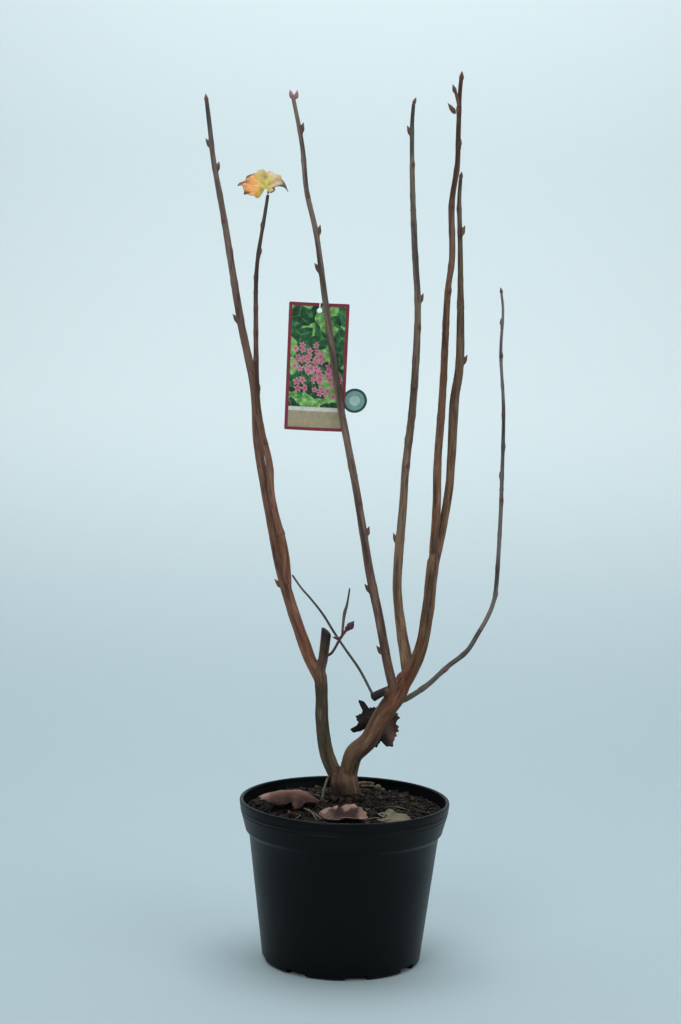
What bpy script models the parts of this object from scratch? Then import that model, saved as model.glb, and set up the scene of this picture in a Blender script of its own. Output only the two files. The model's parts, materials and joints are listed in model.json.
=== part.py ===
"""Clove currant in a plastic nursery pot: a leafless multi-stemmed shrub about 0.86 m tall,
with one autumn leaf still on it, a printed plant tag and fallen leaves on the compost.

Metres, +Z up. The origin is the centre of the pot's flat underside, and -Y is the front.
"""
import math
import random
from collections import namedtuple

import bmesh
import bpy
from mathutils import Matrix, Vector

GAP = 0.0003            # clearance between pieces that touch on the real plant

# Pot: a 4 litre container, turned, with drain notches in its lower edge
POT_HEIGHT = 0.1605
RIM_RADIUS = 0.1035
RIM_BAND = 0.031        # height of the plain band under the rim
BAND_FOOT_RADIUS = 0.0975
BODY_TOP_RADIUS = 0.0935
BASE_RADIUS = 0.0785
BASE_ROUNDING = 0.0045
WALL = 0.0016
RIM_LIP = 0.0018        # radius of the rolled lip, which is twice this thick
LIP_DROP = 0.007        # the lip thins to the band's wall this far down
BAND_DRAFT = 0.0004
BAND_STEP = 0.0012      # the band's foot turns in this much, over BAND_TURN
BAND_TURN = 0.002
SHOULDER = 0.004        # the body reaches its full width this far under the band
POT_SEGMENTS = 64
NOTCHES = 8
NOTCH_WIDTH = 0.022
NOTCH_HEIGHT = 0.0055
NOTCH_DEPTH = 0.026     # into the base, with its middle NOTCH_INSET inside the wall
NOTCH_INSET = 0.004
NOTCH_TURN = 11.0       # degrees, turns a notch a little to the right of the front

# Compost: a low mound that fills the pot
SOIL_EDGE_HEIGHT = 0.1490
SOIL_EDGE_RADIUS = 0.0925
SOIL_CROWN_HEIGHT = 0.1555
SOIL_CROWN_RADIUS = 0.046
SOIL_FOOT_CHAMFER = 0.004
SOIL_SEGMENTS = 48

# Limbs
STEP = 0.014            # spacing of a limb's rings
STEM_SIDES = 12
CANE_SIDES = 8
TWIG_SIDES = 6

# Buds
BUD_LENGTH = 0.0085
BUD_WIDTH = 0.0034
BUD_SPLAY = 24.0        # degrees between a bud and its cane
BUD_SHOWN = 1.3         # the buds that stand out are this much bigger
BUD_SECTOR = 0.45       # the others keep this share of their turn away from front or back
NODE_SPACING = 0.029
NODE_TURN = 144.0       # degrees from each bud to the next one up
BUD_CLEAR = 0.016       # a hidden bud this near a visible one is left out
YOUNG_WOOD = 0.0078     # buds stand only where a cane is thinner than this
SEED = 11

# Plant tag: a die-cut card with a round tab on its right side
TAG_WIDTH = 0.057
TAG_HEIGHT = 0.123
TAG_THICKNESS = 0.001
TAG_CENTRE = (-0.0365, 0.586)   # across, up
TAG_ROLL = 1.3          # degrees, top edge to the right
TAB_RADIUS = 0.0118
TAB_REACH = 0.0090      # tab centre outside the right edge
TAB_DROP = 0.0310       # tab centre under the card's middle
HOLE_RADIUS = 0.0024
HOLE_PLACE = (0.0005, 0.0545)   # from the card's middle: across, up
SLIT_WIDTH = 0.0009

# Leaves, with lobes of (bearing, share of the reach, spread in degrees)
BLADE_THICKNESS = 0.0008
BLADE_SWEEP = 150.0     # degrees that a blade fans out to each side of its middle lobe
BLADE_RINGS = 3
BLADE_SPOKES = 38

AUTUMN_LEAF_REACH = 0.031
AUTUMN_LEAF_LOBES = ((5.0, 1.0, 26.0), (-14.0, 1.0, 24.0), (-32.0, 0.96, 24.0),
                     (-50.0, 1.0, 19.0), (20.0, 0.86, 34.0), (34.0, 0.97, 26.0),
                     (48.0, 0.82, 34.0), (61.0, 0.97, 24.0), (78.0, 0.72, 36.0),
                     (95.0, 0.70, 28.0), (115.0, 0.60, 36.0), (135.0, 0.50, 32.0))
AUTUMN_LEAF_LEAST = 0.30        # no part of the margin is nearer than this share
AUTUMN_LEAF_BEND = (0.10, -5.0, -9.0, -51000.0)     # along, along^2, left^2, right^4
AUTUMN_LEAF_WAVE = (0.0012, 260.0)                  # depth, waves
AUTUMN_LEAF_JOINT = (-0.002, -0.007, 0.006)         # from the cane's tip
AUTUMN_LEAF_FACING = ((-0.10, 0.75, 0.62), (0.05, -0.62, 0.78))     # forward, up
STALK_START = (0.0002, 0.0, 0.0010)                 # from the cane's tip
STALK_MIDDLE = (0.0, -0.004, 0.005)
STALK_RADII = (0.0011, 0.0009, 0.0009)

WITHERED_LEAF_PLACE = (0.028, 0.0200, 0.232)
WITHERED_LEAF_REACH = 0.030
WITHERED_LEAF_LOBES = ((62.6, 0.96, 15.0), (100.0, 0.66, 30.0), (136.0, 0.83, 20.0),
                       (-10.0, 0.90, 26.0), (-40.0, 0.86, 34.0), (-76.0, 0.84, 46.0),
                       (-94.0, 0.86, 40.0), (-110.0, 0.95, 28.0), (-150.0, 0.80, 36.0))
WITHERED_LEAF_LEAST = 0.56
WITHERED_LEAF_CRUMPLE = (0.004, 190.0, 150.0)       # depth, waves along and across
WITHERED_LEAF_FACING = ((0.50, 0.05, 0.87), (0.0, -1.0, 0.0))       # forward, up

# Leaves that lie on the compost. where: the stalk's end, across and deep; width: the side
# lobes' length; sides, ends: how far the edges curl up; arch: height of a ridge along the
# middle; tilt: how far the back is raised over the front
FallenLeaf = namedtuple("FallenLeaf", "name key where bearing reach width sides ends arch tilt")

FALLEN_LEAVES = (
    FallenLeaf("fallen_leaf_left", "dead_leaf", (-0.038, -0.016), 180.0, 0.046, 0.52,
               0.000, 0.0020, 0.0150, 0.0),
    FallenLeaf("fallen_leaf_front", "dead_leaf", (-0.015, -0.063), -6.0, 0.037, 0.42,
               0.050, 0.0050, 0.0, 0.0020),
    FallenLeaf("fallen_leaf_right", "pale_leaf", (0.039, -0.054), -4.0, 0.025, 0.60,
               0.008, 0.0020, 0.0, 0.0040),
)
FALLEN_SIDE_LOBE = 64.0
FALLEN_SPREADS = (58.0, 40.0)       # of the middle lobe and of the side lobes
FALLEN_LEAST = 0.36
ARCH_WIDTH = 0.52       # the ridge fades out at this share of the reach to each side
ARCH_MIDDLE = 0.45

# route: (up, across, depth) stations in metres from foot to tip
# girth: diameters at even steps from foot to tip
# meets: the limbs that the foot stands against
# buds: (up, bearing) of the buds that stand out, 0 degrees to the right and 90 to the back
Limb = namedtuple("Limb", "name sides route girth meets buds")

LIMBS = (
    Limb("root_crown", STEM_SIDES,
         ((0.150, 0.003, 0.012), (0.164, 0.002, 0.012), (0.174, -0.001, 0.012),
          (0.184, -0.003, 0.012), (0.1875, -0.003, 0.012)),
         (0.0300, 0.0268, 0.0275, 0.0285, 0.0180), (), ()),
    Limb("left_stem", STEM_SIDES,
         ((0.174, -0.006, 0.012), (0.188, -0.0125, 0.012), (0.205, -0.0192, 0.012),
          (0.234, -0.024, 0.012), (0.256, -0.025, 0.012), (0.286, -0.027, 0.013)),
         (0.0145, 0.0140, 0.0130, 0.0122, 0.0130), ("root_crown",), ()),
    Limb("right_stem", STEM_SIDES,
         ((0.172, 0.003, 0.012), (0.188, 0.004, 0.011), (0.203, 0.0085, 0.010),
          (0.217, 0.022, 0.009), (0.231, 0.029, 0.009), (0.247, 0.0378, 0.008),
          (0.2605, 0.0470, 0.008), (0.287, 0.0595, 0.009)),
         (0.0172, 0.0178, 0.0188, 0.0180, 0.0172, 0.0176, 0.0194, 0.0174, 0.0154), ("root_crown", "left_stem"), ()),
    Limb("cane_a", CANE_SIDES,
         ((0.279, -0.028, 0.014), (0.305, -0.041, 0.016), (0.372, -0.065, 0.022),
          (0.422, -0.077, 0.026), (0.481, -0.089, 0.030), (0.518, -0.095, 0.033),
          (0.564, -0.099, 0.036), (0.627, -0.1135, 0.044), (0.725, -0.1322, 0.060),
          (0.781, -0.144, 0.070), (0.816, -0.149, 0.074), (0.844, -0.153, 0.078)),
         (0.0124, 0.0114, 0.0096, 0.0090, 0.0082, 0.0074, 0.0066, 0.0054, 0.0040),
         ("left_stem",), ((0.802, 180), (0.777, 0), (0.629, 180), (0.373, 180))),
    Limb("pruned_stub", CANE_SIDES,
         ((0.284, -0.0265, 0.013), (0.301, -0.0242, 0.012), (0.325, -0.0220, 0.010)),
         (0.0098, 0.0096, 0.0100), ("left_stem", "cane_a"), ()),
    Limb("cane_b", CANE_SIDES,
         ((0.374, -0.061, 0.019), (0.405, -0.065, 0.018), (0.452, -0.078, 0.020),
          (0.489, -0.082, 0.022), (0.521, -0.090, 0.024), (0.552, -0.095, 0.026),
          (0.628, -0.098, 0.030), (0.682, -0.098, 0.034), (0.735, -0.091, 0.038),
          (0.751, -0.089, 0.040)),
         (0.0076, 0.0074, 0.0072, 0.0062, 0.0050, 0.0044, 0.0038, 0.0032),
         ("cane_a",), ()),
    Limb("cane_e", STEM_SIDES,
         ((0.279, 0.0585, 0.007), (0.292, 0.0640, 0.0035), (0.3095, 0.0703, 0.000),
          (0.330, 0.0742, -0.0035), (0.361, 0.0775, -0.008), (0.405, 0.0805, -0.014)),
         (0.0135, 0.0122, 0.0118, 0.0122), ("right_stem",), ()),
    Limb("cane_d", CANE_SIDES,
         ((0.284, 0.0600, 0.012), (0.308, 0.0558, 0.015), (0.326, 0.0524, 0.017),
          (0.373, 0.047, 0.022), (0.451, 0.051, 0.030), (0.486, 0.0525, 0.033),
          (0.553, 0.0585, 0.040), (0.636, 0.061, 0.048), (0.695, 0.057, 0.053),
          (0.759, 0.053, 0.060), (0.818, 0.051, 0.066), (0.845, 0.052, 0.068)),
         (0.0134, 0.0094, 0.0090, 0.0078, 0.0076, 0.0072, 0.0064, 0.0060, 0.0048, 0.0036),
         ("right_stem", "cane_e"), ((0.820, 180), (0.653, 0), (0.415, 180))),
    Limb("cane_c", CANE_SIDES,
         ((0.266, 0.047, 0.006), (0.300, 0.038, -0.002), (0.340, 0.030, -0.010),
          (0.388, 0.019, -0.018), (0.469, 0.004, -0.030), (0.555, -0.014, -0.042),
          (0.645, -0.029, -0.055), (0.709, -0.039, -0.064), (0.750, -0.049, -0.070),
          (0.791, -0.054, -0.075), (0.834, -0.063, -0.082)),
         (0.0096, 0.0090, 0.0082, 0.0073, 0.0069, 0.0065, 0.0060, 0.0050, 0.0046, 0.0036),
         ("right_stem", "cane_d"),
         ((0.808, 0), (0.712, 0), (0.679, 180), (0.429, 0), (0.373, 180), (0.312, 180))),
    Limb("cane_e_left", CANE_SIDES,
         ((0.398, 0.0795, -0.0145), (0.450, 0.0818, -0.019), (0.499, 0.0815, -0.023),
          (0.557, 0.084, -0.028), (0.614, 0.085, -0.033), (0.661, 0.086, -0.038),
          (0.694, 0.089, -0.041), (0.741, 0.087, -0.045), (0.778, 0.091, -0.049),
          (0.810, 0.091, -0.052), (0.840, 0.091, -0.056), (0.858, 0.092, -0.058)),
         (0.0086, 0.0082, 0.0080, 0.0076, 0.0070, 0.0066, 0.0057, 0.0060, 0.0052, 0.0046,
          0.0036),
         ("cane_e",), ()),
    Limb("cane_e_right", CANE_SIDES,
         ((0.398, 0.0825, -0.011), (0.431, 0.0885, -0.009), (0.469, 0.0935, -0.011),
          (0.498, 0.0950, -0.013), (0.552, 0.0960, -0.018), (0.586, 0.0995, -0.024),
          (0.624, 0.0995, -0.029), (0.695, 0.0968, -0.038), (0.730, 0.0948, -0.042),
          (0.748, 0.0940, -0.044), (0.767, 0.0946, -0.046)),
         (0.0084, 0.0084, 0.0082, 0.0094, 0.0086, 0.0076, 0.0052, 0.0046, 0.0034),
         ("cane_e", "cane_e_left"), ((0.716, 0), (0.597, 0))),
    Limb("cane_f_lower", CANE_SIDES,
         ((0.2545, 0.047, 0.009), (0.2594, 0.059, 0.013), (0.2712, 0.079, 0.023),
          (0.2880, 0.099, 0.035), (0.3024, 0.119, 0.048), (0.3226, 0.1323, 0.056)),
         (0.0060, 0.0052, 0.0048, 0.0046), ("right_stem", "cane_e"), ()),
    Limb("cane_f_upper", CANE_SIDES,
         ((0.3220, 0.1320, 0.0558), (0.3340, 0.1389, 0.060), (0.3488, 0.1450, 0.064),
          (0.3650, 0.1480, 0.067), (0.412, 0.150, 0.071), (0.463, 0.151, 0.075),
          (0.543, 0.151, 0.082), (0.598, 0.147, 0.087), (0.641, 0.148, 0.090),
          (0.661, 0.146, 0.092)),
         (0.0046, 0.0043, 0.0041, 0.0037, 0.0032, 0.0026), ("cane_f_lower",), ()),
    Limb("dead_spur", CANE_SIDES,
         ((0.271, 0.045, 0.007), (0.2655, 0.032, 0.004), (0.2612, 0.024, 0.002)),
         (0.0080, 0.0084, 0.0092), ("right_stem", "cane_c"), ()),
    Limb("thin_twig", TWIG_SIDES,
         ((0.264, 0.0255, 0.003), (0.288, 0.012, 0.006),
          (0.3080, -0.0026, 0.008), (0.3240, -0.0139, 0.010), (0.3412, -0.0252, 0.012),
          (0.3548, -0.0365, 0.0145), (0.3667, -0.0477, 0.018), (0.3785, -0.0570, 0.0255)),
         (0.0028, 0.0025, 0.0023, 0.0020), ("dead_spur", "cane_a", "cane_b"), ()),
    Limb("budded_twig", TWIG_SIDES,
         ((0.300, -0.024, 0.009), (0.304, -0.017, 0.004), (0.310, -0.013, 0.002),
          (0.320, -0.008, 0.000), (0.328, -0.003, -0.002), (0.332, 0.000, -0.003)),
         (0.0028, 0.0026, 0.0028, 0.0030), ("pruned_stub", "left_stem"), ()),
)

# A cane's side shoots: (limb, route, girth), fused to it
SHOOTS = (
    ("cane_e_left",
     ((0.832, 0.0910, -0.056), (0.839, 0.0890, -0.058), (0.845, 0.0868, -0.060)),
     (0.0040, 0.0036, 0.0028)),
    ("budded_twig",
     ((0.321, -0.0065, 0.000), (0.343, -0.0048, -0.003), (0.353, -0.0025, -0.004),
      (0.361, -0.0012, -0.005), (0.371, 0.000, -0.006)),
     (0.0022, 0.0026, 0.0034, 0.0020, 0.0016)),
)

# Fat buds at shoot tips: (limb, centre, pointing direction, length, width)
TIP_BUDS = (
    ("cane_a", (-0.1535, 0.0785, 0.846), (-0.15, 0.10, 1.0), 0.0090, 0.0040),
    ("cane_c", (-0.0650, -0.0825, 0.837), (-0.35, -0.10, 1.0), 0.0090, 0.0042),
    ("cane_c", (-0.0600, -0.0815, 0.837), (0.15, -0.05, 1.0), 0.0085, 0.0038),
    ("cane_d", (0.0530, 0.0685, 0.847), (0.35, 0.05, 1.0), 0.0080, 0.0036),
    ("cane_e_left", (0.0922, -0.0585, 0.8595), (0.05, -0.10, 1.0), 0.0095, 0.0042),
    ("cane_e_left", (0.0855, -0.0605, 0.8475), (-0.35, -0.10, 1.0), 0.0090, 0.0038),
    ("cane_e_left", (0.0838, -0.0555, 0.8300), (-0.61, -0.05, 0.79), 0.0125, 0.0044),
    ("cane_e_right", (0.0950, -0.0462, 0.769), (0.10, -0.05, 1.0), 0.0075, 0.0036),
    ("cane_f_upper", (0.1457, 0.0921, 0.663), (-0.20, 0.05, 1.0), 0.0070, 0.0030),
    ("budded_twig", (0.0023, -0.0035, 0.3342), (0.55, -0.10, 0.8), 0.0100, 0.0068),
    ("budded_twig", (0.0000, -0.0010, 0.3305), (0.90, -0.20, 0.2), 0.0080, 0.0050),
    ("budded_twig", (-0.0120, 0.0000, 0.3205), (-0.90, -0.10, 0.2), 0.0085, 0.0034),
)

COLOURS = {             # linear colour, roughness
    "pot": ((0.012, 0.015, 0.017), 0.45),
    "soil": ((0.020, 0.014, 0.010), 0.95),
    "stem": ((0.120, 0.085, 0.055), 0.85),
    "cane": ((0.150, 0.070, 0.045), 0.70),
    "twig": ((0.100, 0.055, 0.050), 0.70),
    "yellow_leaf": ((0.700, 0.400, 0.080), 0.60),
    "dead_leaf": ((0.090, 0.045, 0.030), 0.80),
    "pale_leaf": ((0.450, 0.420, 0.280), 0.80),
    "tag": ((0.350, 0.150, 0.150), 0.35),
}

parts = bpy.data.collections.new("potted_clove_currant")
cutters = bpy.data.collections.new("cutters")


def material(key):
    """One Principled material for each finish."""
    existing = bpy.data.materials.get(key)
    if existing:
        return existing
    colour, roughness = COLOURS[key]
    made = bpy.data.materials.new(key)
    made.use_nodes = True
    shader = made.node_tree.nodes["Principled BSDF"]
    shader.inputs["Base Color"].default_value = (*colour, 1.0)
    shader.inputs["Roughness"].default_value = roughness
    shader.inputs["Metallic"].default_value = 0.0
    return made


def place(station):
    """A (up, across, depth) station as a point."""
    up, across, depth = station
    return Vector((across, depth, up))


def spline_point(p0, p1, p2, p3, t):
    """Catmull-Rom point between p1 and p2."""
    return 0.5 * (2 * p1 + (p2 - p0) * t + (2 * p0 - 5 * p1 + 4 * p2 - p3) * t ** 2
                  + (3 * p1 - p0 - 3 * p2 + p3) * t ** 3)


def centre_line(route, step):
    """Points about a step apart on a smooth curve through the stations."""
    knots = [place(station) for station in route]
    knots = [2 * knots[0] - knots[1]] + knots + [2 * knots[-1] - knots[-2]]
    points = []
    for i in range(1, len(knots) - 2):
        count = max(1, round((knots[i + 1] - knots[i]).length / step))
        for k in range(count):
            points.append(spline_point(*knots[i - 1:i + 3], k / count))
    points.append(knots[-2])
    return points


def distances(points):
    """How far along the line each point lies."""
    run = [0.0]
    for a, b in zip(points, points[1:]):
        run.append(run[-1] + (b - a).length)
    return run


def radius_at(share, girth):
    """Radius at a share of the length, from diameters at even steps."""
    where = min(max(share, 0.0), 1.0) * (len(girth) - 1)
    low = min(int(where), len(girth) - 2)
    return 0.5 * (girth[low] + (girth[low + 1] - girth[low]) * (where - low))


def link(obj, collection, key):
    collection.objects.link(obj)
    obj.data.materials.clear()
    obj.data.materials.append(material(key))
    return obj


def mesh_from(obj):
    """The evaluated object as a plain mesh object in the same place."""
    bpy.context.view_layer.update()
    graph = bpy.context.evaluated_depsgraph_get()
    mesh = bpy.data.meshes.new_from_object(obj.evaluated_get(graph))
    made = bpy.data.objects.new(obj.name, mesh)
    made.matrix_world = obj.matrix_world.copy()
    return made


def tube(name, points, radii, sides, grow=0.0):
    """A tapering limb along the points; grow thickens and lengthens it all round."""
    points = list(points)
    if grow:
        points[0] = points[0] + (points[0] - points[1]).normalized() * grow
        points[-1] = points[-1] + (points[-1] - points[-2]).normalized() * grow
    curve = bpy.data.curves.new(name, "CURVE")
    curve.dimensions = "3D"
    curve.bevel_depth = 1.0
    curve.bevel_resolution = sides // 2 - 2
    curve.use_fill_caps = True
    curve.twist_mode = "MINIMUM"
    spline = curve.splines.new("POLY")
    spline.points.add(len(points) - 1)
    for point, where, radius in zip(spline.points, points, radii):
        point.co = (*where, 1.0)
        point.radius = radius + grow
    holder = bpy.data.objects.new(name, curve)
    parts.objects.link(holder)
    made = mesh_from(holder)
    bpy.data.objects.remove(holder)
    made.name = name
    weld(made.data)
    return made


def weld(mesh):
    """Joins the caps to the tube and turns the faces out."""
    work = bmesh.new()
    work.from_mesh(mesh)
    bmesh.ops.remove_doubles(work, verts=work.verts, dist=0.00002)
    bmesh.ops.recalc_face_normals(work, faces=work.faces)
    work.to_mesh(mesh)
    work.free()


def limb_tube(limb, grow=0.0):
    points = centre_line(limb.route, STEP)
    run = distances(points)
    radii = [radius_at(along / run[-1], limb.girth) for along in run]
    return tube(limb.name, points, radii, limb.sides, grow)


def bud(centre, direction, length, width):
    """One pointed bud, its base sunk in the wood."""
    work = bmesh.new()
    bmesh.ops.create_uvsphere(work, u_segments=6, v_segments=4, radius=0.5)
    for vertex in work.verts:
        up = vertex.co.z
        lean = 1.0 - 0.5 * max(up, 0.0)
        vertex.co.x *= width * lean
        vertex.co.y *= width * lean
        vertex.co.z = up * length
    mesh = bpy.data.meshes.new("bud")
    work.to_mesh(mesh)
    work.free()
    made = bpy.data.objects.new("bud", mesh)
    turn = Vector(direction).normalized().to_track_quat("Z", "Y").to_matrix().to_4x4()
    made.matrix_world = Matrix.Translation(centre) @ turn
    return made


def at_height(points, up):
    """Index of the centre line's point that is nearest to a height."""
    return min(range(len(points)), key=lambda i: abs(points[i].z - up))


def side_bud(points, radii, index, bearing, size=1.0):
    """A bud on the side of a cane, splayed out from its direction."""
    along = (points[min(index + 1, len(points) - 1)] - points[max(index - 1, 0)]).normalized()
    out = Vector((math.cos(math.radians(bearing)), math.sin(math.radians(bearing)), 0.0))
    out = (out - along * out.dot(along)).normalized()
    splay = math.radians(BUD_SPLAY)
    direction = along * math.cos(splay) + out * math.sin(splay)
    centre = points[index] + out * (radii[index] + 0.15 * size * BUD_WIDTH)
    return bud(centre, direction, size * BUD_LENGTH, size * BUD_WIDTH)


def off_outline(bearing):
    """A bearing turned towards the front or the back, where no outline shows a bud."""
    aside = math.remainder(bearing - 90.0, 180.0)
    return bearing - aside * (1.0 - BUD_SECTOR)


def cane_buds(limb, dice):
    """The visible buds of a cane, and spiralled ones between them on its young wood."""
    points = centre_line(limb.route, 0.004)
    run = distances(points)
    radii = [radius_at(along / run[-1], limb.girth) for along in run]
    buds = []
    for up, bearing in limb.buds:
        index = at_height(points, up)
        buds.append(side_bud(points, radii, index, bearing, BUD_SHOWN))
    taken = [up for up, _ in limb.buds]
    bearing = dice.uniform(0.0, 360.0)
    left = NODE_SPACING
    while left < run[-1] - NODE_SPACING:
        index = min(range(len(run)), key=lambda i: abs(run[-1] - left - run[i]))
        free = all(abs(points[index].z - up) > BUD_CLEAR for up in taken)
        behind_tag = abs(points[index].z - TAG_CENTRE[1]) < 0.5 * TAG_HEIGHT + BUD_CLEAR
        free = free and not (limb.name == "cane_c" and behind_tag)
        if free and 2 * radii[index] < YOUNG_WOOD:
            buds.append(side_bud(points, radii, index, off_outline(bearing)))
        bearing += NODE_TURN
        left += NODE_SPACING * dice.uniform(0.85, 1.2)
    return buds


def boolean(obj, operation, cutter=None, group=None):
    """One exact Boolean with an object or a collection, applied."""
    tool = obj.modifiers.new(operation.lower(), "BOOLEAN")
    tool.operation = operation
    tool.solver = "EXACT"
    if group:
        tool.operand_type = "COLLECTION"
        tool.collection = group
    else:
        tool.object = cutter
    bpy.context.view_layer.update()
    graph = bpy.context.evaluated_depsgraph_get()
    mesh = bpy.data.meshes.new_from_object(obj.evaluated_get(graph))
    obj.modifiers.clear()
    obj.data = mesh


def clear(group):
    for obj in list(group.objects):
        bpy.data.objects.remove(obj)


def keep_largest(mesh):
    """Drops the scraps that a cut leaves beside the main body."""
    work = bmesh.new()
    work.from_mesh(mesh)
    unseen = set(work.verts)
    bodies = []
    while unseen:
        stack = [unseen.pop()]
        body = set(stack)
        while stack:
            for edge in stack.pop().link_edges:
                for vertex in edge.verts:
                    if vertex in unseen:
                        unseen.discard(vertex)
                        body.add(vertex)
                        stack.append(vertex)
        bodies.append(body)
    bodies.sort(key=len)
    for body in bodies[:-1]:
        bmesh.ops.delete(work, geom=list(body), context="VERTS")
    bmesh.ops.dissolve_degenerate(work, edges=work.edges, dist=0.000005)
    work.to_mesh(mesh)
    work.free()


def cut_flat(mesh, height):
    """A level cut: all that is below the height goes, and the cut face is closed."""
    work = bmesh.new()
    work.from_mesh(mesh)
    whole = list(work.verts) + list(work.edges) + list(work.faces)
    bmesh.ops.bisect_plane(work, geom=whole, dist=0.000001, plane_co=(0.0, 0.0, height),
                           plane_no=(0.0, 0.0, 1.0), clear_inner=True)
    bmesh.ops.holes_fill(work, edges=[edge for edge in work.edges if edge.is_boundary])
    bmesh.ops.recalc_face_normals(work, faces=work.faces)
    work.to_mesh(mesh)
    work.free()


def shade(obj, angle=40.0):
    obj.data.shade_smooth()
    obj.data.set_sharp_from_angle(angle=math.radians(angle))


def build_limb(limb, by_name, dice):
    """A limb with its shoots and buds fused on, cut clear of what its foot meets."""
    made = limb_tube(limb)
    parts.objects.link(made)
    fused = bpy.data.collections.new("fused")
    bpy.context.scene.collection.children.link(fused)
    for owner, route, girth in SHOOTS:
        if owner == limb.name:
            shoot = limb_tube(Limb("shoot", TWIG_SIDES, route, girth, (), ()))
            fused.objects.link(shoot)
    for owner, centre, direction, length, width in TIP_BUDS:
        if owner == limb.name:
            fused.objects.link(bud(centre, direction, length, width))
    if limb.sides == CANE_SIDES and limb.name.startswith("cane"):
        for side in cane_buds(limb, dice):
            fused.objects.link(side)
    if fused.objects:
        boolean(made, "UNION", group=fused)
        clear(fused)
    bpy.data.collections.remove(fused)
    for other in limb.meets:
        cutter = limb_tube(by_name[other], GAP)
        cutters.objects.link(cutter)
        cutter.hide_render = True
        cutter.display_type = "WIRE"
        boolean(made, "DIFFERENCE", cutter=cutter)
        clear(cutters)
    keep_largest(made.data)
    if limb.name == "root_crown":
        cut_flat(made.data, SOIL_CROWN_HEIGHT + GAP)
    finish = {STEM_SIDES: "stem", CANE_SIDES: "cane", TWIG_SIDES: "twig"}[limb.sides]
    made.data.materials.clear()
    made.data.materials.append(material(finish))
    shade(made)
    return made


def turned(name, profile, segments, key):
    """A profile of (radius, height) pairs, outer side first, turned about the Z axis."""
    mesh = bpy.data.meshes.new(name)
    count = len(profile)
    mesh.from_pydata([(r, 0.0, z) for r, z in profile],
                     [(i, i + 1) for i in range(count - 1)], [])
    made = link(bpy.data.objects.new(name, mesh), parts, key)
    screw = made.modifiers.new("turn", "SCREW")
    screw.steps = segments
    screw.render_steps = segments
    screw.use_merge_vertices = True
    screw.merge_threshold = 0.00001
    return made


def arc(centre, radius, start, stop, steps):
    """Points on an arc in the (radius, height) plane, in degrees."""
    return [(centre[0] + radius * math.cos(math.radians(start + (stop - start) * i / steps)),
             centre[1] + radius * math.sin(math.radians(start + (stop - start) * i / steps)))
            for i in range(steps + 1)]


def build_pot():
    """Turned pot with a rolled rim, a plain band, a rounded base and drain notches."""
    band_foot = POT_HEIGHT - RIM_BAND
    base_corner = (BASE_RADIUS - BASE_ROUNDING, BASE_ROUNDING)
    mouth_radius = RIM_RADIUS - 2 * RIM_LIP
    outer = [(mouth_radius, POT_HEIGHT)]
    outer += arc((RIM_RADIUS - RIM_LIP, POT_HEIGHT - RIM_LIP), RIM_LIP, 90, 0, 3)[1:]
    outer += [(RIM_RADIUS - BAND_DRAFT, POT_HEIGHT - LIP_DROP),
              (BAND_FOOT_RADIUS, band_foot + BAND_TURN),
              (BAND_FOOT_RADIUS - BAND_STEP, band_foot),
              (BODY_TOP_RADIUS, band_foot - SHOULDER)]
    outer += arc(base_corner, BASE_ROUNDING, 0, -90, 4)
    outer.append((0.0, 0.0))
    inner = [(0.0, WALL), (base_corner[0], WALL)]
    inner += arc(base_corner, BASE_ROUNDING - WALL, -90, 0, 3)[1:]
    inner += [(BODY_TOP_RADIUS - WALL, band_foot - SHOULDER),
              (BAND_FOOT_RADIUS - BAND_STEP - 2 * WALL, band_foot),
              (mouth_radius, POT_HEIGHT - LIP_DROP), (mouth_radius, POT_HEIGHT)]
    pot = turned("pot", outer + inner, POT_SEGMENTS, "pot")
    for i in range(NOTCHES):
        bpy.ops.mesh.primitive_cube_add(size=1.0)
        notch = bpy.context.object
        notch.name = f"notch_{i}"
        bearing = math.radians(-90.0 + NOTCH_TURN + 360.0 * i / NOTCHES)
        reach = BASE_RADIUS - NOTCH_INSET
        notch.scale = (NOTCH_DEPTH, NOTCH_WIDTH, 2 * NOTCH_HEIGHT)
        notch.rotation_euler = (0.0, 0.0, bearing)
        notch.location = (reach * math.cos(bearing), reach * math.sin(bearing), 0.0)
        for other in notch.users_collection:
            other.objects.unlink(notch)
        cutters.objects.link(notch)
    boolean(pot, "DIFFERENCE", group=cutters)
    clear(cutters)
    shade(pot, 30.0)


def soil_height(radius):
    """Height of the mound's surface at a radius."""
    share = (radius - SOIL_CROWN_RADIUS) / (SOIL_EDGE_RADIUS - SOIL_CROWN_RADIUS)
    share = min(max(share, 0.0), 1.0)
    return SOIL_CROWN_HEIGHT + (SOIL_EDGE_HEIGHT - SOIL_CROWN_HEIGHT) * share


def build_soil():
    """The compost that fills the pot: walls clear of the pot, a low mound on top."""
    band_foot = POT_HEIGHT - RIM_BAND
    clear_wall = WALL + 2 * GAP
    foot_radius = BASE_RADIUS - BASE_ROUNDING - clear_wall
    foot_height = WALL + GAP
    profile = [(0.0, SOIL_CROWN_HEIGHT), (SOIL_CROWN_RADIUS, SOIL_CROWN_HEIGHT),
               (SOIL_EDGE_RADIUS, SOIL_EDGE_HEIGHT),
               (BODY_TOP_RADIUS - clear_wall, band_foot - SHOULDER - 2 * GAP),
               (BASE_RADIUS - clear_wall, foot_height + SOIL_FOOT_CHAMFER),
               (foot_radius, foot_height), (0.0, foot_height)]
    soil = turned("soil", profile, SOIL_SEGMENTS, "soil")
    shade(soil, 30.0)


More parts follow.
